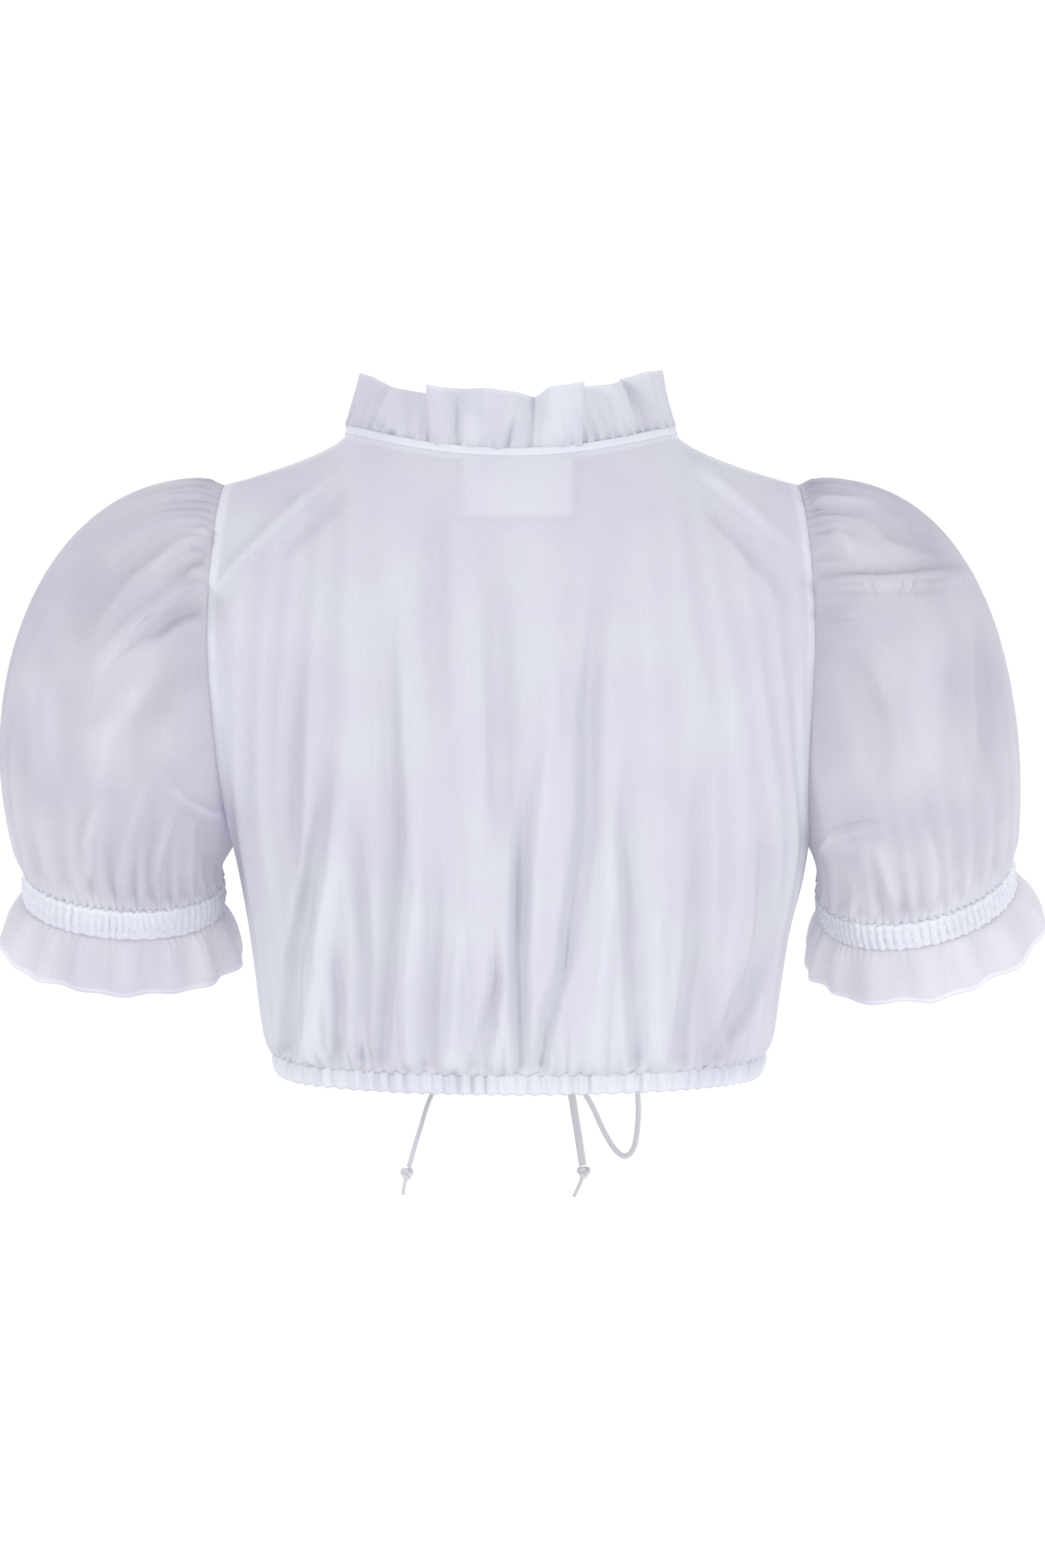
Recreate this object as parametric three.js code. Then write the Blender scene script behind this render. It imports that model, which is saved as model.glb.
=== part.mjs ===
// A short white dirndl blouse with puff sleeves, filled out as it is worn, with nobody in it.
// Millimetres. +X is the wearer's right, +Y the wearer's front, +Z up. The origin lies midway between
// the two neck points, where the shoulder seams meet the collar.
// Every piece of cloth is a wall: rows of points on its outer side, and the same rows moved inwards.

import * as THREE from 'three';

// Driving sizes
const CLOTH = 1.2; // thickness of the cloth walls
const SEAM_GAP = 0.3; // between two pieces that are sewn together
const NECK_HALF_WIDTH = 102;
const NECK_BACK_DEPTH = 64; // centre back of the neckline behind the shoulder seams
const NECK_BACK_DROP = 17;
const NECK_FRONT_DEPTH = 74;
const NECK_FRONT_DROP = 85;
const SHOULDER_X = 177; // outer end of the shoulder seam
const SHOULDER_DROP = 32;
const NECK_SHARE = 0.52; // share of a panel's half that ends on the neckline, the rest on the shoulder
const BINDING_HEIGHT = 4;
const CUFF_HALF_WIDTH = 61;
const CUFF_HALF_DEPTH = 46;
const CUFF_BAND = 19; // width of the shirred cuff band
const CUFF_FRILL = 31;
const CUFF_FLARE = 15; // how much further out the frill's hem stands than the band
const ARMHOLE_SWAY = 6; // the foot of both armholes hangs this much to the wearer's right
const CASING_HEIGHT = 11; // the gathered drawstring casing at the hem
const TAPE_WIDTH = 5; // the flat drawstring
const TAPE_THICKNESS = 1.8;
const LOOP_WIDTH = 3.5; // the tape where the bow's loop folds it
const TAIL_THICKNESS = 2; // the frayed ends below the knots
const BUTTON_RADIUS = 5;
const BUTTON_THICKNESS = 2;
const COLLAR_STOP = 177.5; // where binding and frill stop on each side of the centre front, in degrees
const CASING_STOP = 178.2;
const COLLAR_LEAN = { inwards: 0.31, back: 0.1, front: 0.3 }; // the frill's slope over its height
const GATHER = { binding: 0.5, casing: 1.6, casingFoot: 0.4, band: 1.5, bandFoot: 0.2 };
const CASING_DRAWN_IN = 2.5; // the casing's lower edge is this much narrower all round
const NECK_WAVE = 5; // how far the neck frill's free edge waves to each side
const CUFF_WAVE = 3;
const HEAD_GATHER = 1.5; // height of the puff's gathers at the shoulder, and above the cuff
const CUFF_GATHER = 1.6;

const WHITE_COTTON = { color: 0xe4e5ef, roughness: 0.9, metalness: 0 };
const SHEER_COTTON = { color: 0xdcdae4, roughness: 0.88, metalness: 0 };
const SHIRRED_COTTON = { color: 0xedf0f8, roughness: 0.9, metalness: 0 };
const PEARL = { color: 0xf1f0ec, roughness: 0.35, metalness: 0 };
const TAPE = { color: 0xdfe1e8, roughness: 0.85, metalness: 0 };

// Sections of the body from the hem casing up to the lowest point of the armhole: the side seam, and
// how far behind and before the shoulder plane the centre of the back and front lie. sway moves a
// section to the wearer's right, as the blouse hangs.
const BODY_SECTIONS = [
  { seamX: 150.5, seamZ: -384, backY: -106, backZ: -393, frontY: 104, frontZ: -388, sway: 5 },
  { seamX: 155.5, seamZ: -375, backY: -111, backZ: -385, frontY: 109.5, frontZ: -380, sway: 5 },
  { seamX: 159.5, seamZ: -361, backY: -114, backZ: -370, frontY: 114, frontZ: -366, sway: 4.6 },
  { seamX: 163, seamZ: -336, backY: -115, backZ: -346, frontY: 119, frontZ: -342, sway: 4.8 },
  { seamX: 167.5, seamZ: -306, backY: -113, backZ: -318, frontY: 125, frontZ: -311, sway: 5.2 },
  { seamX: 173.5, seamZ: -279, backY: -110.5, backZ: -290, frontY: 129, frontZ: -280, sway: 6.5 },
  { seamX: 178, seamZ: -256, backY: -108, backZ: -262, frontY: 131, frontZ: -249, sway: ARMHOLE_SWAY },
];
// Rows above the armhole's lowest point: how far up the panel, and where each meets the armhole.
const YOKE_ROWS = [
  { rise: 0.14, backAngle: 153, frontAngle: 207 },
  { rise: 0.3, backAngle: 125, frontAngle: 235 },
  { rise: 0.48, backAngle: 98, frontAngle: 262 },
  { rise: 0.66, backAngle: 70, frontAngle: 290 },
  { rise: 0.83, backAngle: 40, frontAngle: 320 },
  { rise: 1, backAngle: 0, frontAngle: 360 },
];
// How the yoke comes in to the shoulder seam and the neckline: the strength of its bend in millimetres
// and how many degrees it still rises there.
const YOKE_CURVES = {
  back: { shoulderBend: 290, neckBend: 180, shoulderPitch: 22, neckPitch: 42 },
  front: { shoulderBend: 190, neckBend: 120, shoulderPitch: 30, neckPitch: 42 },
};
// The armhole, seen from the arm: 0 is the shoulder point, 90 the back, 180 under the arm. x counts
// outwards. leave is how the sleeve's cloth sets off from the seam, and arrive how it comes to the cuff.
const ARMHOLE = [
  { angle: 0, x: SHOULDER_X, y: 0, z: -SHOULDER_DROP, leave: [106, 0, 22], arrive: [26, 0, 114] },
  { angle: 45, x: 182, y: -42, z: -62, leave: [66, -38, 24], arrive: [26, -64, 105] },
  { angle: 90, x: 185, y: -68, z: -130, leave: [30, -42, 8], arrive: [0, -95, 78] },
  { angle: 135, x: 180, y: -52, z: -214, leave: [12, -22, -6], arrive: [-2, -42, 40] },
  { angle: 180, x: 178, y: 0, z: -256, leave: [4, 0, -8], arrive: [2, 0, 12] },
  { angle: 225, x: 178, y: 46, z: -222, leave: [12, 20, -6], arrive: [-2, 30, 44] },
  { angle: 270, x: 178, y: 58, z: -140, leave: [30, 42, 8], arrive: [0, 60, 76] },
  { angle: 315, x: 179, y: 34, z: -68, leave: [66, 38, 24], arrive: [26, 50, 104] },
];
// Each arm's cuff: its centre counted outwards, how many degrees its outer side is raised, how many the
// arm swings forward, and how many millimetres the puff bulges out above it.
const ARMS = [
  { side: 'right', hand: 1, cuffX: 250, cuffY: 12, cuffZ: -274.5, raised: 13, swing: 36, bulge: -6 },
  { side: 'left', hand: -1, cuffX: 240.5, cuffY: 12, cuffZ: -274.5, raised: 4, swing: 27, bulge: 20 },
];

// Soft folds, each from its foot to its head: sideways and up, the half-width, and how far the cloth
// sinks (less than nothing) or stands out.
const FOLDS_FROM_HEM = -370; // a fold whose foot is lower than this starts at the hem
const BACK_FOLDS = [
  { footX: -141, footZ: -386, headX: -120, headZ: -238, width: 11, depth: -3.6 },
  { footX: -137, footZ: -300, headX: -134, headZ: -190, width: 12, depth: -2.6 },
  { footX: -110, footZ: -386, headX: -113, headZ: -318, width: 8, depth: -2.6 },
  { footX: -94, footZ: -386, headX: -98, headZ: -262, width: 9, depth: -3.4 },
  { footX: -80, footZ: -386, headX: -66, headZ: -226, width: 9, depth: -4 },
  { footX: -52, footZ: -388, headX: -48, headZ: -330, width: 9, depth: -2.6 },
  { footX: -26, footZ: -388, headX: -8, headZ: -346, width: 8, depth: -3.2 },
  { footX: -12, footZ: -236, headX: -3, headZ: -110, width: 12, depth: -2.8 },
  { footX: 3, footZ: -388, headX: 5, headZ: -250, width: 9, depth: -3.8 },
  { footX: 21, footZ: -388, headX: 33, headZ: -340, width: 8, depth: -4 },
  { footX: 28, footZ: -330, headX: 46, headZ: -160, width: 12, depth: -3 },
  { footX: 52, footZ: -388, headX: 56, headZ: -334, width: 9, depth: -2.6 },
  { footX: 78, footZ: -388, headX: 70, headZ: -240, width: 10, depth: -3.2 },
  { footX: 104, footZ: -386, headX: 112, headZ: -330, width: 9, depth: -2.6 },
  { footX: 128, footZ: -386, headX: 163, headZ: -298, width: 12, depth: -4.2 },
  { footX: 119, footZ: -350, headX: 118, headZ: -250, width: 11, depth: -2.4 },
];
const FRONT_FOLDS = [
  { footX: -132, footZ: -382, headX: -150, headZ: -270, width: 11, depth: -3.4 },
  { footX: -112, footZ: -384, headX: -116, headZ: -250, width: 10, depth: -3.2 },
  { footX: -88, footZ: -384, headX: -84, headZ: -180, width: 11, depth: -4 },
  { footX: -64, footZ: -386, headX: -66, headZ: -290, width: 10, depth: -3 },
  { footX: -40, footZ: -386, headX: -44, headZ: -140, width: 11, depth: -3.8 },
  { footX: 42, footZ: -386, headX: 46, headZ: -150, width: 11, depth: -3.8 },
  { footX: 66, footZ: -386, headX: 64, headZ: -280, width: 10, depth: -3 },
  { footX: 90, footZ: -384, headX: 88, headZ: -190, width: 11, depth: -4 },
  { footX: 114, footZ: -384, headX: 120, headZ: -260, width: 10, depth: -3.2 },
  { footX: 138, footZ: -380, headX: 154, headZ: -280, width: 11, depth: -3.2 },
];
// Drag lines of a sleeve: the armhole angle where each starts and ends, its reach along the sleeve from 0
// at the armhole to 1 at the cuff, its half-width in degrees, and its height above the cloth.
const SLEEVE_FOLDS = [
  { start: 82, end: 48, from: 0.02, to: 0.5, width: 13, depth: 4.5 },
  { start: 58, end: 30, from: 0.02, to: 0.38, width: 10, depth: 3 },
  { start: 282, end: 318, from: 0.02, to: 0.46, width: 13, depth: 4 },
  { start: 118, end: 100, from: 0.5, to: 0.98, width: 10, depth: 3.2 },
  { start: 78, end: 62, from: 0.52, to: 0.98, width: 11, depth: 3.6 },
  { start: 250, end: 262, from: 0.5, to: 0.98, width: 11, depth: 3.2 },
  { start: 20, end: 24, from: 0.6, to: 0.98, width: 10, depth: 3 },
];

// The neck frill's height above its binding, by the place round the neck: 0 is the centre back, 90 the
// wearer's right.
const FRILL_HEIGHTS = [
  { angle: 0, height: 35.5 },
  { angle: 45, height: 35 },
  { angle: 90, height: 36 },
  { angle: 135, height: 36 },
  { angle: 180, height: 36 },
  { angle: 225, height: 35 },
  { angle: 270, height: 32 },
  { angle: 315, height: 28.5 },
];

// Numbers of pieces and steps
const BACK_COLUMNS = 56;
const FRONT_COLUMNS = 48; // across both fronts, an even number
const SLEEVE_COLUMNS = 36;
const SLEEVE_GATHERS = SLEEVE_COLUMNS / 2;
const SLEEVE_ROWS = [0, 0.035, 0.1, 0.2, 0.32, 0.45, 0.58, 0.71, 0.83, 0.93, 1];
const BAND_GATHERS = 24;
const CASING_GATHERS = 44;
const NECK_WAVES = 15;
const NECK_STEPS_PER_WAVE = 5;
const CUFF_WAVES = 9;
const CUFF_STEPS_PER_WAVE = 5;
const BUTTONS = 5;

const point = (x, y, z) => new THREE.Vector3(x, y, z);
const radians = THREE.MathUtils.degToRad;
const mix = THREE.MathUtils.lerp;
const smooth = THREE.MathUtils.smoothstep;
const UP = point(0, 0, 1);

// One part of a smooth hill: 1 at its middle, 0 at its half-width and beyond.
function hill(distance, halfWidth) {
  const t = Math.min(1, Math.abs(distance) / halfWidth);
  return 0.5 + 0.5 * Math.cos(Math.PI * t);
}

// How much a set of folds moves a point of the cloth. A fold that starts at the hem is full there.
function foldsAt(folds, p) {
  return folds.reduce((sum, f) => {
    const t = (p.z - f.footZ) / (f.headZ - f.footZ);
    const foot = f.footZ < FOLDS_FROM_HEM ? 1 : smooth(t, -0.1, 0.25);
    const middle = mix(f.footX, f.headX, Math.min(1, Math.max(0, t)));
    return sum + f.depth * hill(p.x - middle, f.width) * foot * (1 - smooth(t, 0.6, 1.1));
  }, 0);
}

// A smooth closed curve through the rows of a table at a given angle.
function around(table, read, angle) {
  const step = 360 / table.length;
  const turn = ((angle % 360) + 360) % 360;
  const first = Math.floor(turn / step);
  const t = turn / step - first;
  const [a, b, c, d] = [-1, 0, 1, 2].map((k) => read(table[(first + k + table.length) % table.length]));
  const curve = (p, q, r, s) =>
    q + 0.5 * t * (r - p + t * (2 * p - 5 * q + 4 * r - s + t * (3 * (q - r) + s - p)));
  return point(curve(a.x, b.x, c.x, d.x), curve(a.y, b.y, c.y, d.y), curve(a.z, b.z, c.z, d.z));
}

// hand is 1 for the right armhole and -1 for the left one.
function armhole(angle, hand) {
  const atFoot = (0.5 - 0.5 * Math.cos(radians(angle))) ** 8;
  const p = around(ARMHOLE, (row) => point(row.x, row.y, row.z), angle);
  return p.setX(p.x + hand * ARMHOLE_SWAY * atFoot);
}
const leaving = (angle) => around(ARMHOLE, (row) => point(...row.leave), angle);
const arriving = (angle) => around(ARMHOLE, (row) => point(...row.arrive), angle);

// The neckline, from 0 at the centre back round the right side to 180 at the centre front.
function neckline(angle) {
  const c = Math.cos(radians(angle));
  const s = Math.sin(radians(angle));
  const atBack = c > 0;
  const depth = atBack ? NECK_BACK_DEPTH : NECK_FRONT_DEPTH;
  const drop = atBack ? NECK_BACK_DROP : NECK_FRONT_DROP;
  return point(NECK_HALF_WIDTH * s, -depth * c, -drop * c * c);
}

// The direction in which the collar stands on the neckline.
function collarLean(angle) {
  const c = Math.cos(radians(angle));
  const s = Math.sin(radians(angle));
  const sideways = -COLLAR_LEAN.inwards * s;
  const backwards = -(c > 0 ? COLLAR_LEAN.back : COLLAR_LEAN.front) * c;
  return point(sideways, backwards, 1).normalize();
}

// Where a panel ends at the top: on the neckline near its middle, and beyond that on the shoulder seam.
function panelTop(front, s) {
  const across = Math.abs(s);
  const side = Math.sign(s) || 1;
  if (across <= NECK_SHARE) {
    const turn = (90 * across) / NECK_SHARE;
    return neckline(front ? 180 - turn : turn).multiply(point(side, 1, 1));
  }
  const along = (across - NECK_SHARE) / (1 - NECK_SHARE);
  return point(side * mix(NECK_HALF_WIDTH, SHOULDER_X, along), 0, -SHOULDER_DROP * along ** 0.65);
}

// A point of a body section, s running from -1 at the left side seam to 1 at the right one.
function sectionPoint(section, front, s) {
  const c = Math.max(0, Math.cos(radians(90 * s)));
  const depth = front ? section.frontY : section.backY;
  const height = front ? section.frontZ : section.backZ;
  return point(
    section.seamX * Math.sin(radians(90 * s)) + section.sway,
    depth * c ** 0.86,
    mix(section.seamZ, height, c ** 0.8),
  );
}

// A point above the last section, on a curve that bends over to the shoulder or the neckline.
function yokePoint(front, s, rise) {
  const low = sectionPoint(BODY_SECTIONS.at(-1), front, s);
  const top = panelTop(front, s);
  const towardsNeck = 1 - smooth(Math.abs(s), 0.1, NECK_SHARE);
  const curve = front ? YOKE_CURVES.front : YOKE_CURVES.back;
  const bend = mix(curve.shoulderBend, curve.neckBend, towardsNeck);
  const pitch = radians(mix(curve.shoulderPitch, curve.neckPitch, towardsNeck));
  const setOff = UP.clone().multiplyScalar(top.z - low.z);
  const comeIn = point(0, (front ? -1 : 1) * Math.cos(pitch), Math.sin(pitch)).multiplyScalar(bend);
  const t = rise;
  return low
    .multiplyScalar(1 + t * t * (2 * t - 3))
    .addScaledVector(top, t * t * (3 - 2 * t))
    .addScaledVector(setOff, t * (t - 1) ** 2)
    .addScaledVector(comeIn, t * t * (t - 1));
}

// The yoke bent so that its edge lies on the armhole.
function yokeRowPoint(front, s, row) {
  const side = Math.sign(s) || 1;
  const edge = armhole(front ? row.frontAngle : row.backAngle, side).multiply(point(side, 1, 1));
  const miss = edge.sub(yokePoint(front, side, row.rise));
  return yokePoint(front, s, row.rise).addScaledVector(miss, Math.abs(s) ** 2.2);
}

// Outward normals of a grid of points, by the differences to each point's neighbours.
function gridNormals(grid, closed) {
  const last = grid[0].length - 1;
  return grid.map((row, r) =>
    row.map((_, c) => {
      const next = closed ? (c + 1) % row.length : Math.min(last, c + 1);
      const back = closed ? (c + last) % row.length : Math.max(0, c - 1);
      const across = row[next].clone().sub(row[back]);
      const up = grid[Math.min(grid.length - 1, r + 1)][c].clone().sub(grid[Math.max(0, r - 1)][c]);
      return across.cross(up).normalize();
    }),
  );
}

// At a seam in the shoulder plane both walls get the same inward direction, so that they don't cross.
function meetAtSeam(grid, normals) {
  grid.forEach((row, r) =>
    row.forEach((p, c) => {
      if (Math.abs(p.y) > 1e-6) return;
      normals[r][c].setY(0).normalize();
    }),
  );
}

// A grid moved along its normals. amount is a number, or a function of row and column.
function moved(grid, normals, amount) {
  const by = typeof amount === 'function' ? amount : () => amount;
  return grid.map((row, r) => row.map((p, c) => p.clone().addScaledVector(normals[r][c], by(r, c))));
}

// A closed body between an outer and an inner grid. closed joins the last column to the first, and
// mirrored turns every face round, for a grid that is the mirror image of another.
function wall(outer, inner, { closed = false, mirrored = false } = {}) {
  const rows = outer.length;
  const columns = outer[0].length;
  const corners = [...outer.flat(), ...inner.flat()].flatMap((p) => [p.x, p.y, p.z]);
  const out = (r, c) => r * columns + (c % columns);
  const inn = (r, c) => rows * columns + out(r, c);
  const faces = [];
  const quad = (a, b, c, d) => faces.push(...(mirrored ? [a, c, b, a, d, c] : [a, b, c, a, c, d]));
  const top = rows - 1;
  const spans = closed ? columns : columns - 1;
  for (let c = 0; c < spans; c++) {
    for (let r = 0; r < top; r++) {
      quad(out(r, c), out(r, c + 1), out(r + 1, c + 1), out(r + 1, c));
      quad(inn(r, c), inn(r + 1, c), inn(r + 1, c + 1), inn(r, c + 1));
    }
    quad(inn(0, c), inn(0, c + 1), out(0, c + 1), out(0, c));
    quad(out(top, c), out(top, c + 1), inn(top, c + 1), inn(top, c));
  }
  for (let r = 0; r < top && !closed; r++) {
    quad(inn(r, 0), out(r, 0), out(r + 1, 0), inn(r + 1, 0));
    quad(out(r, spans), inn(r, spans), inn(r + 1, spans), out(r + 1, spans));
  }
  const geometry = new THREE.BufferGeometry();
  geometry.setAttribute('position', new THREE.Float32BufferAttribute(corners, 3));
  geometry.setIndex(faces);
  return geometry;
}

function piece(name, geometry, finish) {
  const mesh = new THREE.Mesh(geometry, new THREE.MeshStandardMaterial(finish));
  mesh.name = name;
  return mesh;
}

// The whole grid of the back or of both fronts, with its folds, and the normals of its cloth.
// The front's columns run from right to left, so that on both sides they go round the body one way.
function panelGrid(front, columns, folds) {
  const way = front ? -1 : 1;
  const places = Array.from({ length: columns + 1 }, (_, c) => (way * (2 * c - columns)) / columns);
  const plain = [
    ...BODY_SECTIONS.map((section) => places.map((s) => sectionPoint(section, front, s))),
    ...YOKE_ROWS.map((row) => places.map((s) => yokeRowPoint(front, s, row))),
  ];
  const normals = gridNormals(plain, false);
  const fold = (r, c) => {
    const s = Math.abs(places[c]);
    const placket = front ? smooth(s, 0.05, 0.14) : 1;
    return r === 0 ? 0 : foldsAt(folds, plain[r][c]) * placket * (1 - smooth(s, 0.88, 1));
  };
  const grid = moved(plain, normals, fold);
  for (const p of grid.flat()) if (Math.abs(p.y) < 1e-6) p.y = 0;
  const clothNormals = gridNormals(grid, false);
  meetAtSeam(grid, clothNormals);
  return { grid, normals: clothNormals };
}

// The seam edges drawn back by half a gap, to the panel's own side of the shoulder plane.
function drawnBack(grid, front) {
  for (const p of grid.flat()) if (Math.abs(p.y) < 1e-6) p.y = (front ? 0.5 : -0.5) * SEAM_GAP;
  return grid;
}

function backPanel({ grid, normals }) {
  const outer = drawnBack(moved(grid, normals, 0), false);
  return piece('back_panel', wall(outer, drawnBack(moved(grid, normals, -CLOTH), false)), WHITE_COTTON);
}

// One front, from the side seam to the closing line at the centre.
function frontPanel(name, { grid, normals }, firstColumn, lastColumn, closingEdge) {
  const slice = (rows) => rows.map((row) => row.slice(firstColumn, lastColumn + 1));
  const [g, n] = [slice(grid), slice(normals)];
  const outer = drawnBack(moved(g, n, 0), true);
  const inner = drawnBack(moved(g, n, -CLOTH), true);
  const atCentre = closingEdge > 0 ? (row) => row.at(-1) : (row) => row[0];
  for (const row of [...outer, ...inner]) atCentre(row).x += closingEdge * 0.5 * SEAM_GAP;
  return piece(name, wall(outer, inner), WHITE_COTTON);
}

// A strip that lies on part of a panel's grid: it starts clear of it and is as thick as thickness.
// Its first and last rows stop short by a share of their spans, clear of what is sewn to the panel's edges.
function patch({ grid, normals }, rows, columns, clear, thickness, [shortBelow, shortAbove]) {
  const part = (list, [first, last]) => list.slice(first, last + 1);
  const cut = (table) => part(table, rows).map((row) => part(row, columns));
  const shorter = (row, next, share) => row.map((p, c) => p.clone().lerp(next[c], share));
  const short = (table) => [
    shorter(table[0], table[1], shortBelow),
    ...table.slice(1, -1),
    shorter(table.at(-1), table.at(-2), shortAbove),
  ];
  const [g, n] = [short(cut(grid)), short(cut(normals))];
  const near = moved(g, n, clear);
  const far = moved(g, n, clear + thickness);
  return thickness > 0 ? wall(far, near) : wall(near, far);
}

// Buttons down the placket, each in the middle between two rows of its points.
function placketButtons({ grid, normals }, centre, proud) {
  const rows = grid.length - 1;
  return Array.from({ length: BUTTONS }, (_, k) => {
    const row = Math.round(mix(1, rows - 1, k / (BUTTONS - 1)));
    const normal = normals[row][centre];
    const shape = new THREE.CylinderGeometry(BUTTON_RADIUS, BUTTON_RADIUS + 0.5, BUTTON_THICKNESS, 14);
    shape.applyQuaternion(new THREE.Quaternion().setFromUnitVectors(point(0, 1, 0), normal));
    const lift = proud + BUTTON_THICKNESS / 2 + 2 * SEAM_GAP;
    const middle = grid[row][centre].clone().addScaledVector(normal, lift);
    const button = piece(`button_${k + 1}`, shape, PEARL);
    button.position.copy(middle);
    return button;
  });
}

// Angles round the neck for an open strip that stops at each side of the centre front.
function openRound(count, stop) {
  return Array.from({ length: count + 1 }, (_, k) => mix(-stop, stop, k / count));
}

function neckBinding() {
  const angles = openRound(NECK_WAVES * NECK_STEPS_PER_WAVE, COLLAR_STOP);
  const levels = [2 * SEAM_GAP, BINDING_HEIGHT];
  const grid = levels.map((h) => angles.map((a) => neckline(a).addScaledVector(collarLean(a), h)));
  const normals = gridNormals(grid, false);
  const outer = moved(grid, normals, GATHER.binding);
  return piece('neck_binding', wall(outer, moved(grid, normals, -CLOTH)), SHIRRED_COTTON);
}

// The standing neck frill: gathered at its foot, with waves that deepen to its free edge.
function neckFrill() {
  const angles = openRound(NECK_WAVES * NECK_STEPS_PER_WAVE, COLLAR_STOP);
  const levels = [0, 0.22, 0.5, 0.78, 1];
  const wave = (a) => Math.sin(radians(NECK_WAVES * a + 40 * Math.sin(radians(2 * a + 30))));
  const frillHeight = (a) => around(FRILL_HEIGHTS, (row) => point(0, 0, row.height), a).z;
  const up = (a, t) => BINDING_HEIGHT + SEAM_GAP + t * frillHeight(a);
  const plain = levels.map((t) => angles.map((a) => neckline(a).addScaledVector(collarLean(a), up(a, t))));
  const normals = gridNormals(plain, false);
  const grid = moved(plain, normals, (r, c) => wave(angles[c]) * NECK_WAVE * levels[r] ** 0.8);
  const cloth = gridNormals(grid, false);
  const outer = moved(grid, cloth, CLOTH / 2);
  return piece('neck_frill', wall(outer, moved(grid, cloth, -CLOTH / 2)), WHITE_COTTON);
}

// The gathered casing at the hem: plain inside, with gathers in its outer side, open at the centre front.
function hemCasing() {
  const angles = openRound(2 * CASING_GATHERS, CASING_STOP);
  const section = BODY_SECTIONS[0];
  const levels = [-CASING_HEIGHT, -SEAM_GAP];
  const grid = levels.map((h) =>
    angles.map((a) => {
      const front = Math.abs(a) > 90;
      const s = (front ? Math.sign(a) * (180 - Math.abs(a)) : a) / 90;
      return sectionPoint(section, front, s).addScaledVector(UP, h);
    }),
  );
  const normals = gridNormals(grid, false);
  const drawnIn = (r) => (r === 0 ? CASING_DRAWN_IN : 0);
  const outer = moved(grid, normals, (r, c) => (c % 2 ? GATHER.casing : GATHER.casingFoot) - drawnIn(r));
  const inner = moved(grid, normals, (r) => -CLOTH - drawnIn(r));
  return piece('hem_casing', wall(outer, inner), SHIRRED_COTTON);
}

// A point round a cuff, at a distance along the arm and wider than the cuff by wider. As for the
// armhole, x counts outwards, 0 is the outer side and 90 the back.
function cuffPoint(arm, angle, along, wider) {
  const [raised, swing] = [radians(arm.raised), radians(arm.swing)];
  const outwards = point(Math.cos(raised), 0, Math.sin(raised));
  const down = point(Math.sin(raised), 0, -Math.cos(raised));
  const forward = point(0, 1, 0);
  const alongArm = down.clone().multiplyScalar(Math.cos(swing)).addScaledVector(forward, Math.sin(swing));
  const backwards = down.multiplyScalar(Math.sin(swing)).addScaledVector(forward, -Math.cos(swing));
  return point(arm.cuffX, arm.cuffY, arm.cuffZ)
    .addScaledVector(alongArm, along)
    .addScaledVector(outwards, (CUFF_HALF_WIDTH + wider) * Math.cos(radians(angle)))
    .addScaledVector(backwards, (CUFF_HALF_DEPTH + wider) * Math.sin(radians(angle)));
}

// Straight out from the arm, so that two pieces sewn together there keep their gap.
function squareToCuff(arm, angle) {
  return cuffPoint(arm, angle, 0, 1).sub(cuffPoint(arm, angle, 0, 0)).normalize();
}

const ringAngles = (count) => Array.from({ length: count }, (_, k) => (360 * k) / count);

// The mirror image of a right-hand grid.
const mirrorImage = (grid) => grid.map((row) => row.map((p) => point(-p.x, p.y, p.z)));

// A tube wall on the right arm, or its mirror image for the left one.
function armTube(name, arm, outer, inner, finish) {
  const mirrored = arm.hand < 0;
  const grids = mirrored ? [mirrorImage(outer), mirrorImage(inner)] : [outer, inner];
  return piece(`${name}_${arm.side}`, wall(...grids, { closed: true, mirrored }), finish);
}

// The puff: each line runs from the armhole to the cuff and swells between them.
function puffSleeve(arm) {
  const angles = ringAngles(SLEEVE_COLUMNS);
  const gap = point(1.5 * SEAM_GAP, 0, 0);
  const lines = angles.map((a) => {
    const start = armhole(a, arm.hand).add(gap);
    const end = cuffPoint(arm, a, 0, 0);
    const bulge = point(arm.bulge * (0.5 + 0.5 * Math.cos(radians(a))), 0, 0);
    const control = end.clone().add(arriving(a)).add(bulge);
    return new THREE.CubicBezierCurve3(start, start.clone().add(leaving(a)), control, end);
  });
  const plain = SLEEVE_ROWS.map((t) => lines.map((line) => line.getPoint(t)));
  const normals = gridNormals(plain, true);
  const swell = (r, c) => {
    const [t, a] = [SLEEVE_ROWS[r], angles[c]];
    const overShoulder = 0.5 + 0.5 * Math.cos(radians(a));
    const alternate = Math.cos(radians(SLEEVE_GATHERS * a));
    const head = HEAD_GATHER * overShoulder ** 0.6 * smooth(t, 0, 0.05) * (1 - smooth(t, 0.1, 0.4));
    const cuff = CUFF_GATHER * smooth(t, 0.6, 0.9) * (1 - smooth(t, 0.94, 1));
    const drags = SLEEVE_FOLDS.reduce((sum, f) => {
      const middle = mix(f.start, f.end, (t - f.from) / (f.to - f.from));
      const ends = smooth(t, f.from, f.from + 0.08) * (1 - smooth(t, f.to - 0.15, f.to));
      return sum + f.depth * hill(a - middle, f.width) * ends;
    }, 0);
    return alternate * (head + cuff) + drags;
  };
  const grid = moved(plain, normals, swell);
  const cloth = gridNormals(grid, true);
  cloth[cloth.length - 1] = angles.map((a) => squareToCuff(arm, a));
  return armTube('sleeve', arm, grid, moved(grid, cloth, -CLOTH), SHEER_COTTON);
}

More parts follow.
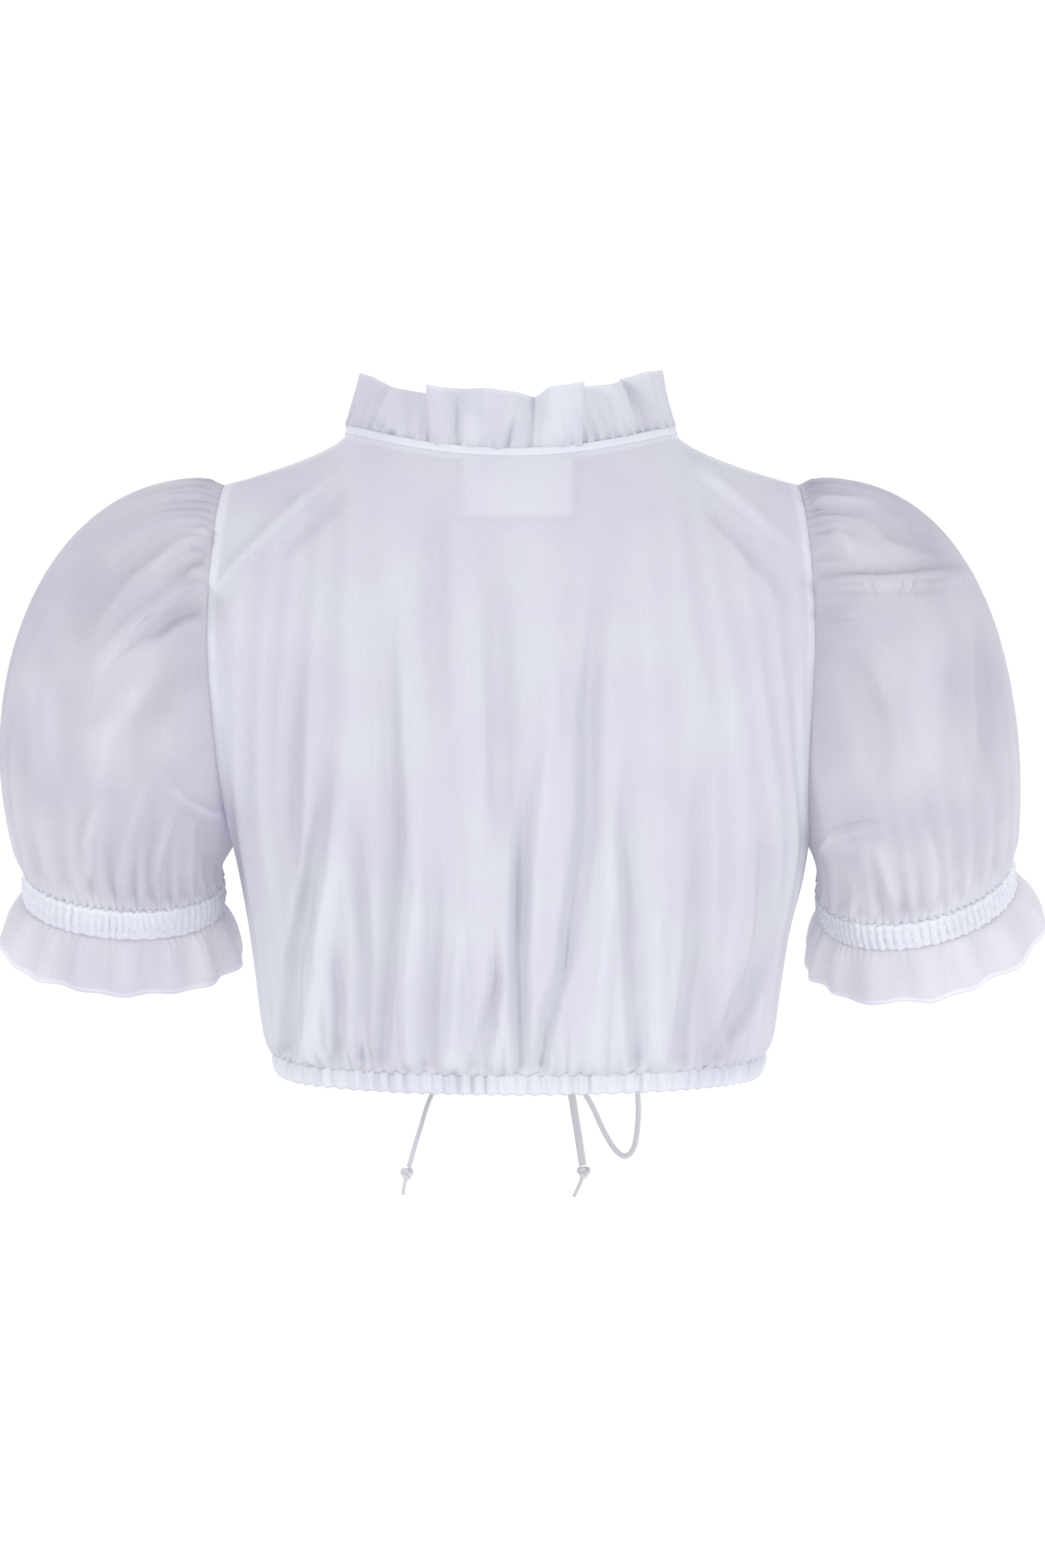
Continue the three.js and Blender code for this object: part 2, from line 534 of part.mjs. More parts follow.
// The shirred band round the arm: plain inside, gathered outside.
function cuffBand(arm) {
  const angles = ringAngles(2 * BAND_GATHERS);
  const levels = [SEAM_GAP, CUFF_BAND];
  const proud = (c) => (c % 2 ? GATHER.band : GATHER.bandFoot);
  const outer = levels.map((h) => angles.map((a, c) => cuffPoint(arm, a, h, proud(c))));
  const inner = levels.map((h) => angles.map((a) => cuffPoint(arm, a, h, -CLOTH)));
  return armTube('cuff_band', arm, outer, inner, SHIRRED_COTTON);
}

// The frill below the band, flaring to a waved hem.
function cuffFrill(arm) {
  const angles = ringAngles(CUFF_WAVES * CUFF_STEPS_PER_WAVE);
  const levels = [0, 0.3, 0.65, 1];
  const wave = (a) => Math.sin(radians(CUFF_WAVES * a + 30 * Math.sin(radians(2 * a))));
  const grid = levels.map((t) =>
    angles.map((a) => {
      const wider = CUFF_FLARE * t ** 0.65 + CUFF_WAVE * t ** 0.7 * wave(a);
      return cuffPoint(arm, a, CUFF_BAND + SEAM_GAP + t * CUFF_FRILL, wider);
    }),
  );
  const cloth = gridNormals(grid, true);
  cloth[0] = angles.map((a) => squareToCuff(arm, a));
  const outer = moved(grid, cloth, CLOTH / 2);
  return armTube('cuff_frill', arm, outer, moved(grid, cloth, -CLOTH / 2), SHEER_COTTON);
}

// The knots: their middles and their sizes across, through and up
const BOW = { middle: [5, 105.9, -394.5], size: [10.4, 9.4, 10.6] };
const LEFT_KNOT = { middle: [-66.7, 108, -465.5], size: [8, 7, 8] };
const RIGHT_KNOT = { middle: [46.1, 109.5, -464.7], size: [8.5, 6, 8] };

// The flat drawstring's three stretches that hang from the bow: two ends and a loop.
const TIE_LEFT = [
  [0.1, 108.1, -394], [-12, 110.8, -391.5], [-26, 111.4, -391.8], [-37, 111, -396.5], [-46, 110, -406],
  [-53, 109, -420], [-58, 108.4, -436], [-62, 108, -449], [-65.5, 108, -461.5],
];
const TIE_RIGHT = [
  [10.2, 107.1, -394.5], [20, 110.4, -391.5], [29, 112, -393.5], [35, 112, -401], [38, 111, -413],
  [40.5, 110, -428], [43, 109.5, -444], [45.5, 109.5, -460.5],
];
const TIE_LOOP = [
  [8.3, 110, -397.5], [19, 115, -402], [31, 118, -403], [42, 119, -409], [51, 118, -422], [59, 117, -439],
  [66, 116.5, -450.5], [72.5, 116, -455], [78, 115.5, -450], [80.5, 115, -437], [81, 114.5, -421],
  [79, 114, -407], [72, 114, -396], [58, 115.5, -388.5], [40, 117.5, -386], [23, 116, -386.5],
  [8.3, 110, -391.2],
];

// The frayed ends below the two knots
const LEFT_TAIL = [[-67.2, 108, -469.7], [-68.6, 108, -474], [-69, 108, -478]];
const RIGHT_TAIL = [[45.4, 109.5, -468.7], [42.7, 109.5, -474.5], [39.7, 109.5, -480.5]];

// across is the tape's size in the plane it hangs in, through its size from front to back. Its section
// is an oval of eight sides.
function tie(name, route, across, through, steps) {
  const curve = new THREE.CatmullRomCurve3(route.map((p) => point(...p)));
  const oval = new THREE.Shape();
  oval.absellipse(0, 0, through / 2, across / 2, 0, 2 * Math.PI);
  return piece(name, new THREE.ExtrudeGeometry(oval, { steps, extrudePath: curve, curveSegments: 4 }), TAPE);
}

function knot(name, { middle, size }) {
  const mesh = piece(name, new THREE.IcosahedronGeometry(0.5, 1).scale(...size), TAPE);
  mesh.position.set(...middle);
  return mesh;
}

const back = panelGrid(false, BACK_COLUMNS, BACK_FOLDS);
const front = panelGrid(true, FRONT_COLUMNS, FRONT_FOLDS);
const backMiddle = BACK_COLUMNS / 2;
const frontMiddle = FRONT_COLUMNS / 2;
const topRow = back.grid.length - 1;
const placketColumns = [frontMiddle - 1, frontMiddle + 1];
const placket = patch(front, [0, topRow], placketColumns, SEAM_GAP, CLOTH, [0.2, 0.15]);
const labelColumns = [backMiddle - 3, backMiddle + 4];
const label = patch(back, [topRow - 2, topRow], labelColumns, -CLOTH - SEAM_GAP, -CLOTH, [0.6, 0.1]);

const blouse = new THREE.Group();
blouse.add(
  backPanel(back),
  frontPanel('front_right', front, 0, frontMiddle, 1),
  frontPanel('front_left', front, frontMiddle, FRONT_COLUMNS, -1),
  piece('front_placket', placket, WHITE_COTTON),
  ...placketButtons(front, frontMiddle, SEAM_GAP + CLOTH),
  piece('neck_label', label, WHITE_COTTON),
  neckBinding(),
  neckFrill(),
  hemCasing(),
);
for (const arm of ARMS) blouse.add(puffSleeve(arm), cuffBand(arm), cuffFrill(arm));
blouse.add(
  knot('bow_knot', BOW),
  tie('tie_left', TIE_LEFT, TAPE_THICKNESS, TAPE_WIDTH, 14),
  tie('tie_right', TIE_RIGHT, TAPE_WIDTH, TAPE_THICKNESS, 13),
  tie('tie_loop', TIE_LOOP, LOOP_WIDTH, TAPE_THICKNESS, 26),
  knot('knot_left', LEFT_KNOT),
  knot('knot_right', RIGHT_KNOT),
  tie('tail_left', LEFT_TAIL, TAIL_THICKNESS, TAIL_THICKNESS, 3),
  tie('tail_right', RIGHT_TAIL, TAIL_THICKNESS, TAIL_THICKNESS, 3),
);

export default blouse;
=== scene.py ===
"""A short white dirndl blouse with puff sleeves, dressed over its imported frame.

Every cloth piece is a flat grid that is moved to its place on the blouse and gets its creases there.
Tables are in millimetres and degrees, like the blouse's pattern; what goes to Blender is in metres.
+X is the wearer's right, +Y the wearer's front, +Z up.
"""

import math
from collections import namedtuple
from functools import lru_cache

import bmesh
import bpy
import numpy as np
from mathutils import Matrix, Vector


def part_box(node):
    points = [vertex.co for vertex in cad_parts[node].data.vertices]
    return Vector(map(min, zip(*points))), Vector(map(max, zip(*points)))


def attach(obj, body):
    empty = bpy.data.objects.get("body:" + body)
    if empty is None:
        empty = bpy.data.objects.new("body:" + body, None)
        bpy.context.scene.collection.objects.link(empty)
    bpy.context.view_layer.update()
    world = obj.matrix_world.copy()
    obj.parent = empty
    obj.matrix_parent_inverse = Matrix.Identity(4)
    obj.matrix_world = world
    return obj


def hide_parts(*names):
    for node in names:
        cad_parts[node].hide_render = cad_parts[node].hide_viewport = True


bl_info = {
    "name": "Dirndl blouse",
    "version": (1, 0, 0),
    "blender": (4, 5, 0),
    "location": "View3D > Sidebar > Blouse",
    "description": "Cuts, gathers and sews a white blouse with puff sleeves",
    "category": "Add Mesh",
}

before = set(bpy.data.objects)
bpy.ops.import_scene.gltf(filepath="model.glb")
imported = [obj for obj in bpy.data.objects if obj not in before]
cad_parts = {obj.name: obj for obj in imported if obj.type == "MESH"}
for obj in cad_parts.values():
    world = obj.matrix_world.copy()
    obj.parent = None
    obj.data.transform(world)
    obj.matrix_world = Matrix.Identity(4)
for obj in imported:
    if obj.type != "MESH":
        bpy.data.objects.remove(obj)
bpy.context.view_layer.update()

MM = 0.001
BODY = "root"

# The cut, in millimetres
NECK_HALF_WIDTH = 102
NECK_DEPTH = {"back": 64, "front": 74}
NECK_DROP = {"back": 17, "front": 85}
COLLAR_LEAN = {"inwards": 0.31, "back": 0.1, "front": 0.3}
COLLAR_STOP = 177.5  # degrees from the centre back to where the collar ends beside the front opening
BINDING_HEIGHT = 4
SHOULDER_X = 177
SHOULDER_DROP = 32
NECK_SHARE = 0.52  # share of a panel's half that ends on the neckline
SEAM_GAP = 0.3
SEAM_ALLOWANCE = 8
CASING_HEIGHT = 11
CASING_DRAWN_IN = 2.5
CUFF_HALF_WIDTH = 61
CUFF_HALF_DEPTH = 46
CUFF_BAND = 19
CUFF_FRILL = 31
CUFF_FLARE = 15
ARMHOLE_SWAY = 6

# Sections of the body from the casing up to the lowest point of the armhole
Section = namedtuple("Section", "seam_x seam_z back_y back_z front_y front_z sway")
BODY_SECTIONS = [
    Section(150.5, -384, -106, -393, 104, -388, 5),
    Section(155.5, -375, -111, -385, 109.5, -380, 5),
    Section(159.5, -361, -114, -370, 114, -366, 4.6),
    Section(163, -336, -115, -346, 119, -342, 4.8),
    Section(167.5, -306, -113, -318, 125, -311, 5.2),
    Section(173.5, -279, -110.5, -290, 129, -280, 6.5),
    Section(178, -256, -108, -262, 131, -249, ARMHOLE_SWAY),
]
# The places round the armhole where the yoke's rows end, by how far up the yoke they are
YOKE_RISES = [0, 0.14, 0.3, 0.48, 0.66, 0.83, 1]
YOKE_ANGLES = {"back": [180, 153, 125, 98, 70, 40, 0], "front": [180, 207, 235, 262, 290, 320, 360]}
YokeCurve = namedtuple("YokeCurve", "shoulder_bend neck_bend shoulder_pitch neck_pitch")
YOKE_CURVES = {"back": YokeCurve(290, 180, 22, 42), "front": YokeCurve(190, 120, 30, 42)}
UNDERARM_ROW = 0.33  # share of a panel's height that lies below the armhole

# The armhole every 45 degrees, seen from the arm: 0 is the shoulder point and 90 the back. x counts
# outwards. leave is how the sleeve sets off from the seam and arrive how it comes to the cuff.
ArmholePoint = namedtuple("ArmholePoint", "place leave arrive")
ARMHOLE = [
    ArmholePoint((SHOULDER_X, 0, -SHOULDER_DROP), (106, 0, 22), (26, 0, 114)),
    ArmholePoint((182, -42, -62), (66, -38, 24), (26, -64, 105)),
    ArmholePoint((185, -68, -130), (30, -42, 8), (0, -95, 78)),
    ArmholePoint((180, -52, -214), (12, -22, -6), (-2, -42, 40)),
    ArmholePoint((178, 0, -256), (4, 0, -8), (2, 0, 12)),
    ArmholePoint((178, 46, -222), (12, 20, -6), (-2, 30, 44)),
    ArmholePoint((178, 58, -140), (30, 42, 8), (0, 60, 76)),
    ArmholePoint((179, 34, -68), (66, 38, 24), (26, 50, 104)),
]
Arm = namedtuple("Arm", "side hand cuff raised swing bulge")
ARMS = [
    Arm("right", 1, (250, 12, -274.5), 13, 36, -6),
    Arm("left", -1, (240.5, 12, -274.5), 4, 27, 20),
]

# Creases, each along a line of points (sideways, up) as the picture shows them: half-width, depth in
# millimetres, which sinks in where it is below 0, and lean, which makes one flank steeper than the other
Crease = namedtuple("Crease", "line width depth lean")
BACK_CREASES = [
    ([(-141, -388), (-137, -330), (-128, -280), (-119, -226), (-116, -170)], 10, -4, 0.3),
    ([(-139, -300), (-138, -250), (-134, -180), (-130, -120)], 13, -2.2, -0.2),
    ([(-110, -388), (-109, -350), (-113, -306)], 7, -3.4, 0.2),
    ([(-95, -388), (-93, -330), (-98, -266), (-100, -210)], 9, -3.6, 0.35),
    ([(-81, -388), (-76, -330), (-70, -250), (-74, -150), (-75, -70)], 11, -3.4, -0.3),
    ([(-53, -392), (-51, -350), (-48, -296), (-50, -240)], 9, -2.6, 0.2),
    ([(-23, -392), (-18, -372), (-9, -340), (-7, -290)], 9, -2.4, 0.2),
    ([(-8, -270), (-8, -206), (-10, -130), (-16, -56)], 14, -2.6, 0.2),
    ([(5, -394), (3, -322), (5, -250), (12, -180)], 9, -3.8, 0.3),
    ([(19, -394), (24, -366), (34, -330), (40, -270)], 8, -3, -0.4),
    ([(30, -350), (37, -300), (46, -240), (47, -170), (54, -100), (50, -40)], 12, -3.2, 0.2),
    ([(77, -388), (74, -330), (69, -250), (72, -180)], 10, -3, 0.3),
    ([(104, -388), (106, -366), (112, -320), (112, -270)], 9, -2.8, 0.1),
    ([(122, -388), (120, -310), (118, -240), (122, -160)], 12, -2.4, -0.2),
    ([(131, -384), (149, -350), (169, -296)], 12, -4, -0.4),
    ([(153, -350), (157, -290), (157, -230)], 10, -2.4, 0.2),
    ([(-45, -30), (-47, -110), (-45, -200)], 14, -1.6, 0),
    ([(-106, -24), (-144, -58), (-176, -88), (-196, -108)], 5, 2.8, 0.5),
    ([(-98, -32), (-136, -68), (-152, -82)], 10, -1.4, 0),
    ([(108, -16), (140, -42), (176, -74)], 8, 2.2, -0.3),
    ([(118, -40), (148, -70), (178, -110)], 10, -1.8, 0),
    ([(-63, -388), (-64, -340), (-58, -280), (-60, -200)], 8, 2.4, 0),
    ([(-126, -386), (-122, -340), (-112, -270), (-108, -200)], 8, 2.6, 0.3),
    ([(-38, -392), (-34, -340), (-30, -280)], 7, 2.2, 0),
    ([(-9, -392), (-5, -340), (-8, -280)], 5, 1.8, 0),
    ([(50, -392), (54, -350), (60, -290), (60, -220)], 9, 2.2, 0.2),
    ([(13, -340), (16, -270), (22, -200), (26, -120)], 9, 2.2, 0.2),
    ([(90, -388), (90, -330), (92, -270)], 8, 2, 0),
]
FRONT_CREASES = [
    ([(-134, -384), (-142, -330), (-150, -272)], 10, -3.8, 0.3),
    ([(-112, -386), (-113, -320), (-118, -252)], 9, -3.4, 0),
    ([(-89, -388), (-83, -300), (-86, -186)], 10, -4.2, 0.3),
    ([(-64, -388), (-63, -340), (-68, -294)], 8, -3, 0.2),
    ([(-41, -388), (-46, -300), (-43, -150)], 10, -4, -0.3),
    ([(42, -388), (47, -300), (44, -160)], 10, -4, 0.3),
    ([(66, -388), (62, -340), (65, -290)], 8, -3, 0),
    ([(91, -388), (86, -300), (90, -196)], 10, -4.2, -0.2),
    ([(115, -386), (117, -320), (122, -262)], 9, -3.4, 0.3),
    ([(138, -382), (147, -340), (156, -288)], 10, -3.4, -0.3),
    ([(-92, -120), (-120, -96), (-152, -88)], 10, 2.4, 0.3),
    ([(96, -126), (122, -98), (154, -92)], 10, 2.2, -0.3),
    ([(-24, -388), (-28, -350), (-26, -310)], 6, -2, 0),
    ([(25, -388), (29, -344), (28, -300)], 6, -2, 0),
    ([(-60, -120), (-70, -170), (-66, -240)], 12, 2, 0),
    ([(62, -124), (72, -180), (66, -250)], 12, 2, 0),
]
# Drag lines of the sleeves on the side that the picture shows, and those of the front side
SLEEVE_CREASES = {
    ("left", "back"): [
        ([(-184, -95), (-206, -101), (-226, -117), (-262, -156)], 8, 4.6, 0.55),
        ([(-184, -104), (-206, -112), (-228, -130)], 7, -2.4, 0),
        ([(-181, -60), (-200, -68), (-226, -86)], 7, 2.2, 0.3),
        ([(-180, -74), (-196, -80), (-214, -92)], 5, -1.8, 0),
        ([(-254, -70), (-262, -100), (-270, -140)], 16, -2.2, 0),
        ([(-206, -60), (-240, -84), (-268, -122)], 12, -2.4, 0.2),
        ([(-196, -134), (-222, -176), (-236, -232)], 18, -2.2, 0),
        ([(-292, -140), (-288, -190), (-280, -240)], 14, 2, 0),
        ([(-222, -150), (-252, -190), (-262, -236)], 14, 2.2, 0.2),
        ([(-243, -286), (-238, -250), (-226, -210)], 7, 2.2, 0.2),
        ([(-262, -282), (-262, -252), (-256, -224)], 6, 2, 0),
        ([(-222, -286), (-219, -262), (-206, -226)], 6, 2.2, -0.2),
        ([(-212, -214), (-203, -226), (-188, -234), (-170, -238)], 7, 1.7, 0.4),
        ([(-190, -236), (-187, -262), (-188, -290)], 11, -1.6, 0),
    ],
    ("left", "front"): [
        ([(-182, -90), (-206, -98), (-238, -122)], 9, 4, 0.4),
        ([(-180, -120), (-204, -130), (-232, -160)], 8, -2.4, 0),
        ([(-240, -284), (-238, -250), (-228, -214)], 8, 2.4, 0),
        ([(-268, -278), (-270, -246), (-266, -214)], 7, 2, 0.2),
        ([(-210, -282), (-206, -256), (-196, -232)], 6, 2, 0),
    ],
    ("right", "back"): [
        ([(180, -99), (216, -96), (250, -96), (298, -88)], 8, 3.6, -0.5),
        ([(180, -89), (206, -85), (240, -84), (300, -78)], 4.5, -1.8, 0),
        ([(206, -128), (226, -180), (232, -236)], 18, -2, 0),
        ([(262, -112), (256, -170), (262, -232)], 16, 1.8, 0),
        ([(222, -58), (256, -64), (282, -84)], 10, -1.8, 0.2),
        ([(180, -44), (206, -45), (240, -44)], 5, 2.2, -0.4),
        ([(180, -112), (198, -113), (220, -112)], 5, 1.8, -0.4),
        ([(196, -54), (208, -68), (216, -84)], 8, 1.1, 0),
        ([(290, -110), (296, -170), (294, -236)], 9, -2, 0.2),
        ([(188, -262), (200, -248), (218, -243), (238, -245)], 7, 1.7, 0.4),
        ([(206, -256), (208, -280), (206, -306)], 12, -1.6, 0),
        ([(240, -296), (232, -270), (222, -246)], 7, 2, 0),
        ([(262, -296), (262, -268), (256, -240)], 6, 1.8, 0),
    ],
    ("right", "front"): [
        ([(182, -86), (208, -92), (244, -112)], 9, 4, -0.4),
        ([(180, -124), (206, -134), (236, -164)], 8, -2.4, 0),
        ([(246, -296), (244, -262), (234, -226)], 8, 2.4, 0),
        ([(276, -290), (278, -258), (274, -226)], 7, 2, -0.2),
        ([(216, -292), (212, -266), (204, -240)], 6, 2, 0),
    ],
}

# The collar frill, by the place round the neck from the centre back: how far its free edge stands out,
# how high it reaches above the binding, and how much of it lies double there, folded on itself, and is
# painted lighter where its facets catch the light
FrillPoint = namedtuple("FrillPoint", "angle out height folded")
COLLAR_FRILL = [FrillPoint(*row) for row in (
    (-180, 1, 36, 0.3), (-168, 5, 37, 0.7), (-156, -3, 35.5, 0.1), (-146, 4, 36, 0.6),
    (-136, -4, 34.5, 0), (-124, 4, 36, 0.6), (-112, -4, 35, 0.1), (-100, 2, 34.5, 0.5),
    (-90, 1.6, 34, 0), (-76, -2, 33, 0.1), (-64, -5, 30, 0.1), (-60, -4, 29.5, 0.75),
    (-50, -1, 29, 0.6), (-37, -4, 29, 0.7), (-34.5, -4, 29.5, 0), (-32.5, 4.5, 34.5, 0),
    (-26, 3, 34, 0.1), (-19, -1, 34.5, 0), (-16, 1, 35, 0.75), (-9.5, 4.5, 36, 0.6),
    (-7.5, 4, 36, 0.1), (2, 1, 34, 0), (9.5, -3, 30, 0.1), (11, -2, 31.5, 0.7),
    (14, 4.5, 36.5, 0.8), (26, 5.5, 37, 0.5), (28.5, 4, 37, 0), (31, -4.5, 34, 0.2),
    (33, -4, 34, 0.8), (44, -1, 33, 0.7), (54, -4, 34, 0.6), (58, -6, 35.5, 0),
    (66, 2, 36, 0), (72, 0, 35.5, 0.5), (80, 2.4, 35, 0), (92, -1, 34, 0.5),
    (102, -5, 35, 0), (114, 4, 36, 0.6), (126, -3, 35, 0.1), (137, 5, 36, 0.6),
    (148, -4, 35, 0), (159, 4, 36, 0.7), (170, -3, 36, 0.1), (180, 1, 36, 0.3),
)]
# The fold lines that rise from the frill's foot
COLLAR_CREASES = [
    ([(-66, -16), (-70, -6), (-80, 4), (-93, 15)], 3.2, -2.4, 0.3),
    ([(-78, -14), (-84, -2), (-92, 9)], 2.8, -2, 0),
    ([(-51, -24), (-52.5, 8), (-53.5, 52)], 3, -2.4, 0.5),
    ([(-32, -26), (-34, 8), (-35, 48)], 3, -2.2, -0.4),
    ([(-19, -22), (-19, -6), (-20, 6)], 2.4, -1.6, 0),
    ([(-9, -26), (0, 4), (6, 20)], 3, -2.6, 0.4),
    ([(11, -26), (14, 8), (16, 46)], 3, -1.6, -0.5),
    ([(46, -24), (44, 10), (42, 52)], 3, -2.4, 0.4),
    ([(82, -20), (79, 14), (77, 52)], 3, -2.6, 0.4),
    ([(86, -18), (85, -4), (85, 12)], 2.4, -1.8, 0),
    ([(91, -18), (90, -4), (90, 12)], 2.4, -1.8, 0),
    ([(64, -22), (66, -4), (62, 12)], 2.6, -1.6, 0),
]
# The creases of the body and of the sleeves are this much deeper than their tables say
CREASE_DEPTH = 1.75
SLEEVE_CREASE_DEPTH = 2.3
CREASE_HANGS_BELOW = -370  # a crease that starts lower than this leaves the casing at its full depth
FOLD_PAINTED_LIGHT = 0.42  # how much nearer to the doubled colour a fold's ridge is painted: a painted highlight on the ridges, with painted shade left in the hollows

# Steps of the pieces' grids, across and up
PANEL_GRID = (216, 176)
PLACKET_GRID = (24, 150)
LABEL_GRID = (30, 24)
BINDING_GRID = (620, 5)
COLLAR_FRILL_GRID = (620, 26)
CASING_GRID = (1100, 8)
SLEEVE_GRID = (336, 96)
BAND_GRID = (504, 12)
CUFF_FRILL_GRID = (504, 18)

# Waves of the cloth, across a piece or once round it: how many, the seed of their unevenness, and how
# uneven they are. Those of a panel add the panel's seed to their own.
Waves = namedtuple("Waves", "count seed unevenness")
PANEL_SEED = {"back": 3, "front": 5}
HEM_PLEATS = Waves(52, 0, 0.9)
STREAMS = Waves(23, 1, 1.4)
NECK_PLEATS = Waves(41, 2, 1.4)
CREEP = Waves(15, 3, 1.4)
STITCHES = Waves(34, 61, 0.9)
BINDING_GATHERS = Waves(124, 11, 0.35)
COLLAR_GATHERS = Waves(124, 13, 1.4)
COLLAR_SWAY = Waves(21, 16, 1.6)
COLLAR_PLEATS = Waves(47, 17, 1.6)
CASING_GATHERS = Waves(96, 23, 1.2)
CASING_EDGE_GATHERS = Waves(96, 23, 0.8)
CASING_CREASES = Waves(2.3 * CASING_GATHERS.count, 29, 1.2)
CASING_SEAM = Waves(61, 25, 1.6)
HEAD_GATHERS = Waves(70, 31, 1.3)
HEAD_FANS = Waves(27, 37, 1.2)
BAND_GATHERS = Waves(84, 41, 0.9)
BAND_RAYS = Waves(28, 43, 1.2)
BAND_CREASES = Waves(2 * BAND_GATHERS.count + 7, 47, 1.2)
BAND_SEAM = Waves(37, 49, 1.6)
CUFF_FOLDS = Waves(15, 53, 1.6)
CUFF_SCALLOPS = 9
# Heights and lengths that wander between a low and a high value, in so many steps
Wander = namedtuple("Wander", "seed low high steps")
HEM_PLEAT_LENGTHS = Wander(0, 6, 26, 60)
HEM_PLEAT_HEIGHTS = Wander(7, 0.8, 2.6, 50)
COLLAR_GATHER_HEIGHTS = Wander(14, 0.2, 1.3, 80)
COLLAR_PLEAT_HEIGHTS = Wander(19, 0, 1, 40)
CASING_GATHER_HEIGHTS = Wander(27, 0.3, 2.3, 60)
BAND_GATHER_HEIGHTS = Wander(45, 0.05, 1.6, 30)

# What lies on the panels
BUTTONS = 5
PLACKET_REACH = 1 / 24  # width of the button stand, as a share of both fronts
PLACKET_LIFT = 1.2
PLACKET_ENDS = (0.007, 0.985)  # shares of the front's height
LABEL_ACROSS = (0.4465, 0.5715)
LABEL_UP = (0.841, 0.985)
LABEL_LIFT = -1.1
# The label's paler patch: its middle as the picture shows it, and where its edges start and stop to fade
LABEL_MIDDLE = (3.8, -32.5)
LABEL_FADE = ((31, 39), (16, 23))
SIDE_REACH = 190  # from the middle of a panel to the armhole, along the cloth
PANEL_HEIGHT = 260

# Shells, as shares of the cloth's thickness
PLACKET_SHELL = 1.5
SHEER_SHELL = 0.7

# The drawstring's route, as it hangs from the bow
BOW = (5, 105.9, -394.5)
TIE_LEFT = [
    (0.1, 108.1, -394), (-12, 110.8, -391.5), (-26, 111.4, -391.8), (-37, 111, -396.5), (-46, 110, -406),
    (-53, 109, -420), (-58, 108.4, -436), (-62, 108, -449), (-65.5, 108, -461.5),
]
TIE_RIGHT = [
    (10.2, 107.1, -394.5), (20, 110.4, -391.5), (29, 112, -393.5), (35, 112, -401), (38, 111, -413),
    (40.5, 110, -428), (43, 109.5, -444), (45.5, 109.5, -460.5),
]
TIE_LOOP = [
    (8.3, 110, -397.5), (19, 115, -402), (31, 118, -403), (42, 119, -409), (51, 118, -422), (59, 117, -439),
    (66, 116.5, -450.5), (72.5, 116, -455), (78, 115.5, -450), (80.5, 115, -437), (81, 114.5, -421),
    (79, 114, -407), (72, 114, -396), (58, 115.5, -388.5), (40, 117.5, -386), (23, 116, -386.5),
    (8.3, 110, -391.2),
]
KNOT_LEFT = (-66.7, 108, -465.5)
KNOT_RIGHT = (46.1, 109.5, -464.7)
TAIL_LEFT = [(-67.2, 108, -468.4), (-68.6, 108, -474), (-69.2, 108, -479)]
TAIL_RIGHT = [(45.4, 109.5, -467.8), (42.7, 109.5, -474.5), (39.7, 109.5, -480.5)]
# Width and thickness of the knotted tape and of its tails, and its thickness elsewhere, in metres
KNOTTED_TAPE = (0.0034, 0.0022)
TAIL_TAPE = (0.0024, 0.0012)
TAPE_THICKNESS = 0.0012
BENT_TAPE_THICKNESS = 0.0014
LOOP_WIDTH = 0.7  # as a share of the tape's width
KNOT_FILL = (0.72, 0.62, 0.72)  # how much of a knot's size the middle of its tape goes round

# Half the outline of a button, as shares of its size: distance from the middle, and height
BUTTON_PROFILE = [
    (0, -0.1), (0.42, -0.1), (0.49, -0.04), (0.5, 0.02), (0.47, 0.09), (0.41, 0.11), (0.35, 0.08),
    (0.3, 0.045), (0.12, 0.035), (0, 0.035),
]
THREAD_RADIUS = 0.035
THREAD_LENGTH = 0.24
THREAD_HEIGHT = 0.055

# The camera of the picture, in millimetres at the plane of the shoulders
CAMERA_PLACE = (7, -3500, -217)
FRAME_HEIGHT = 970.6
SENSOR = 36

# The studio, in metres and watts: half the outline of its bowl, and its square lamps
BOWL_PROFILE = [(0.02, -0.9), (4.6, -0.9), (5.4, -0.75), (5.9, -0.3), (6.1, 0.5), (6.1, 5)]
BOWL_GREY = 0.12
WORLD_LIGHT = 0.3
Lamp = namedtuple("Lamp", "name place size power")
LAMPS = [
    Lamp("key", (-2.5, -2.2, 0.8), 0.9, 34),
    Lamp("fill", (2.4, -2.4, -0.2), 1.4, 37),
    Lamp("low", (0, -2, -0.72), 0.3, 5.2),
]
LAMP_AIM = (0, 0, -0.22)

# Cotton: its surface, how its noise is stretched along the warp and the weft, and its bump in metres
COTTON_SURFACE = {"Roughness": 0.9, "Specular IOR Level": 0.2, "Sheen Weight": 0.12, "Sheen Roughness": 0.5}
WARP_STRETCH = (620, 620, 16)
WEFT_STRETCH = (30, 30, 1300)
WEFT_SHARE = 0.35
CLOUD_SCALE = 11
COTTON_BUMP = {"Strength": 0.2, "Distance": 0.0002}


# Shapes that repeat

def smooth(value, low, high):
    """0 up to low, 1 from high on, and a soft step between them."""
    t = np.clip((value - low) / (high - low), 0, 1)
    return t * t * (3 - 2 * t)


def mix(start, end, share):
    return start + (end - start) * share


def hill(distance, half_width):
    """1 at its middle, falling softly to 0 at the half-width."""
    return 0.5 + 0.5 * np.cos(np.pi * np.clip(np.abs(distance) / half_width, 0, 1))


def stack(x, y, z):
    return np.stack(np.broadcast_arrays(x, y, z), axis=-1).astype(float)


def spline(values, place):
    """A smooth curve through evenly numbered values, read at places between them."""
    values = np.asarray(values, float)
    first = np.clip(np.floor(place).astype(int), 0, len(values) - 2)
    t = (place - first)[..., None] if values.ndim > 1 else place - first
    last = len(values) - 1
    a, b, c, d = (values[np.clip(first + k, 0, last)] for k in (-1, 0, 1, 2))
    return b + 0.5 * t * (c - a + t * (2 * a - 5 * b + 4 * c - d + t * (3 * (b - c) + d - a)))


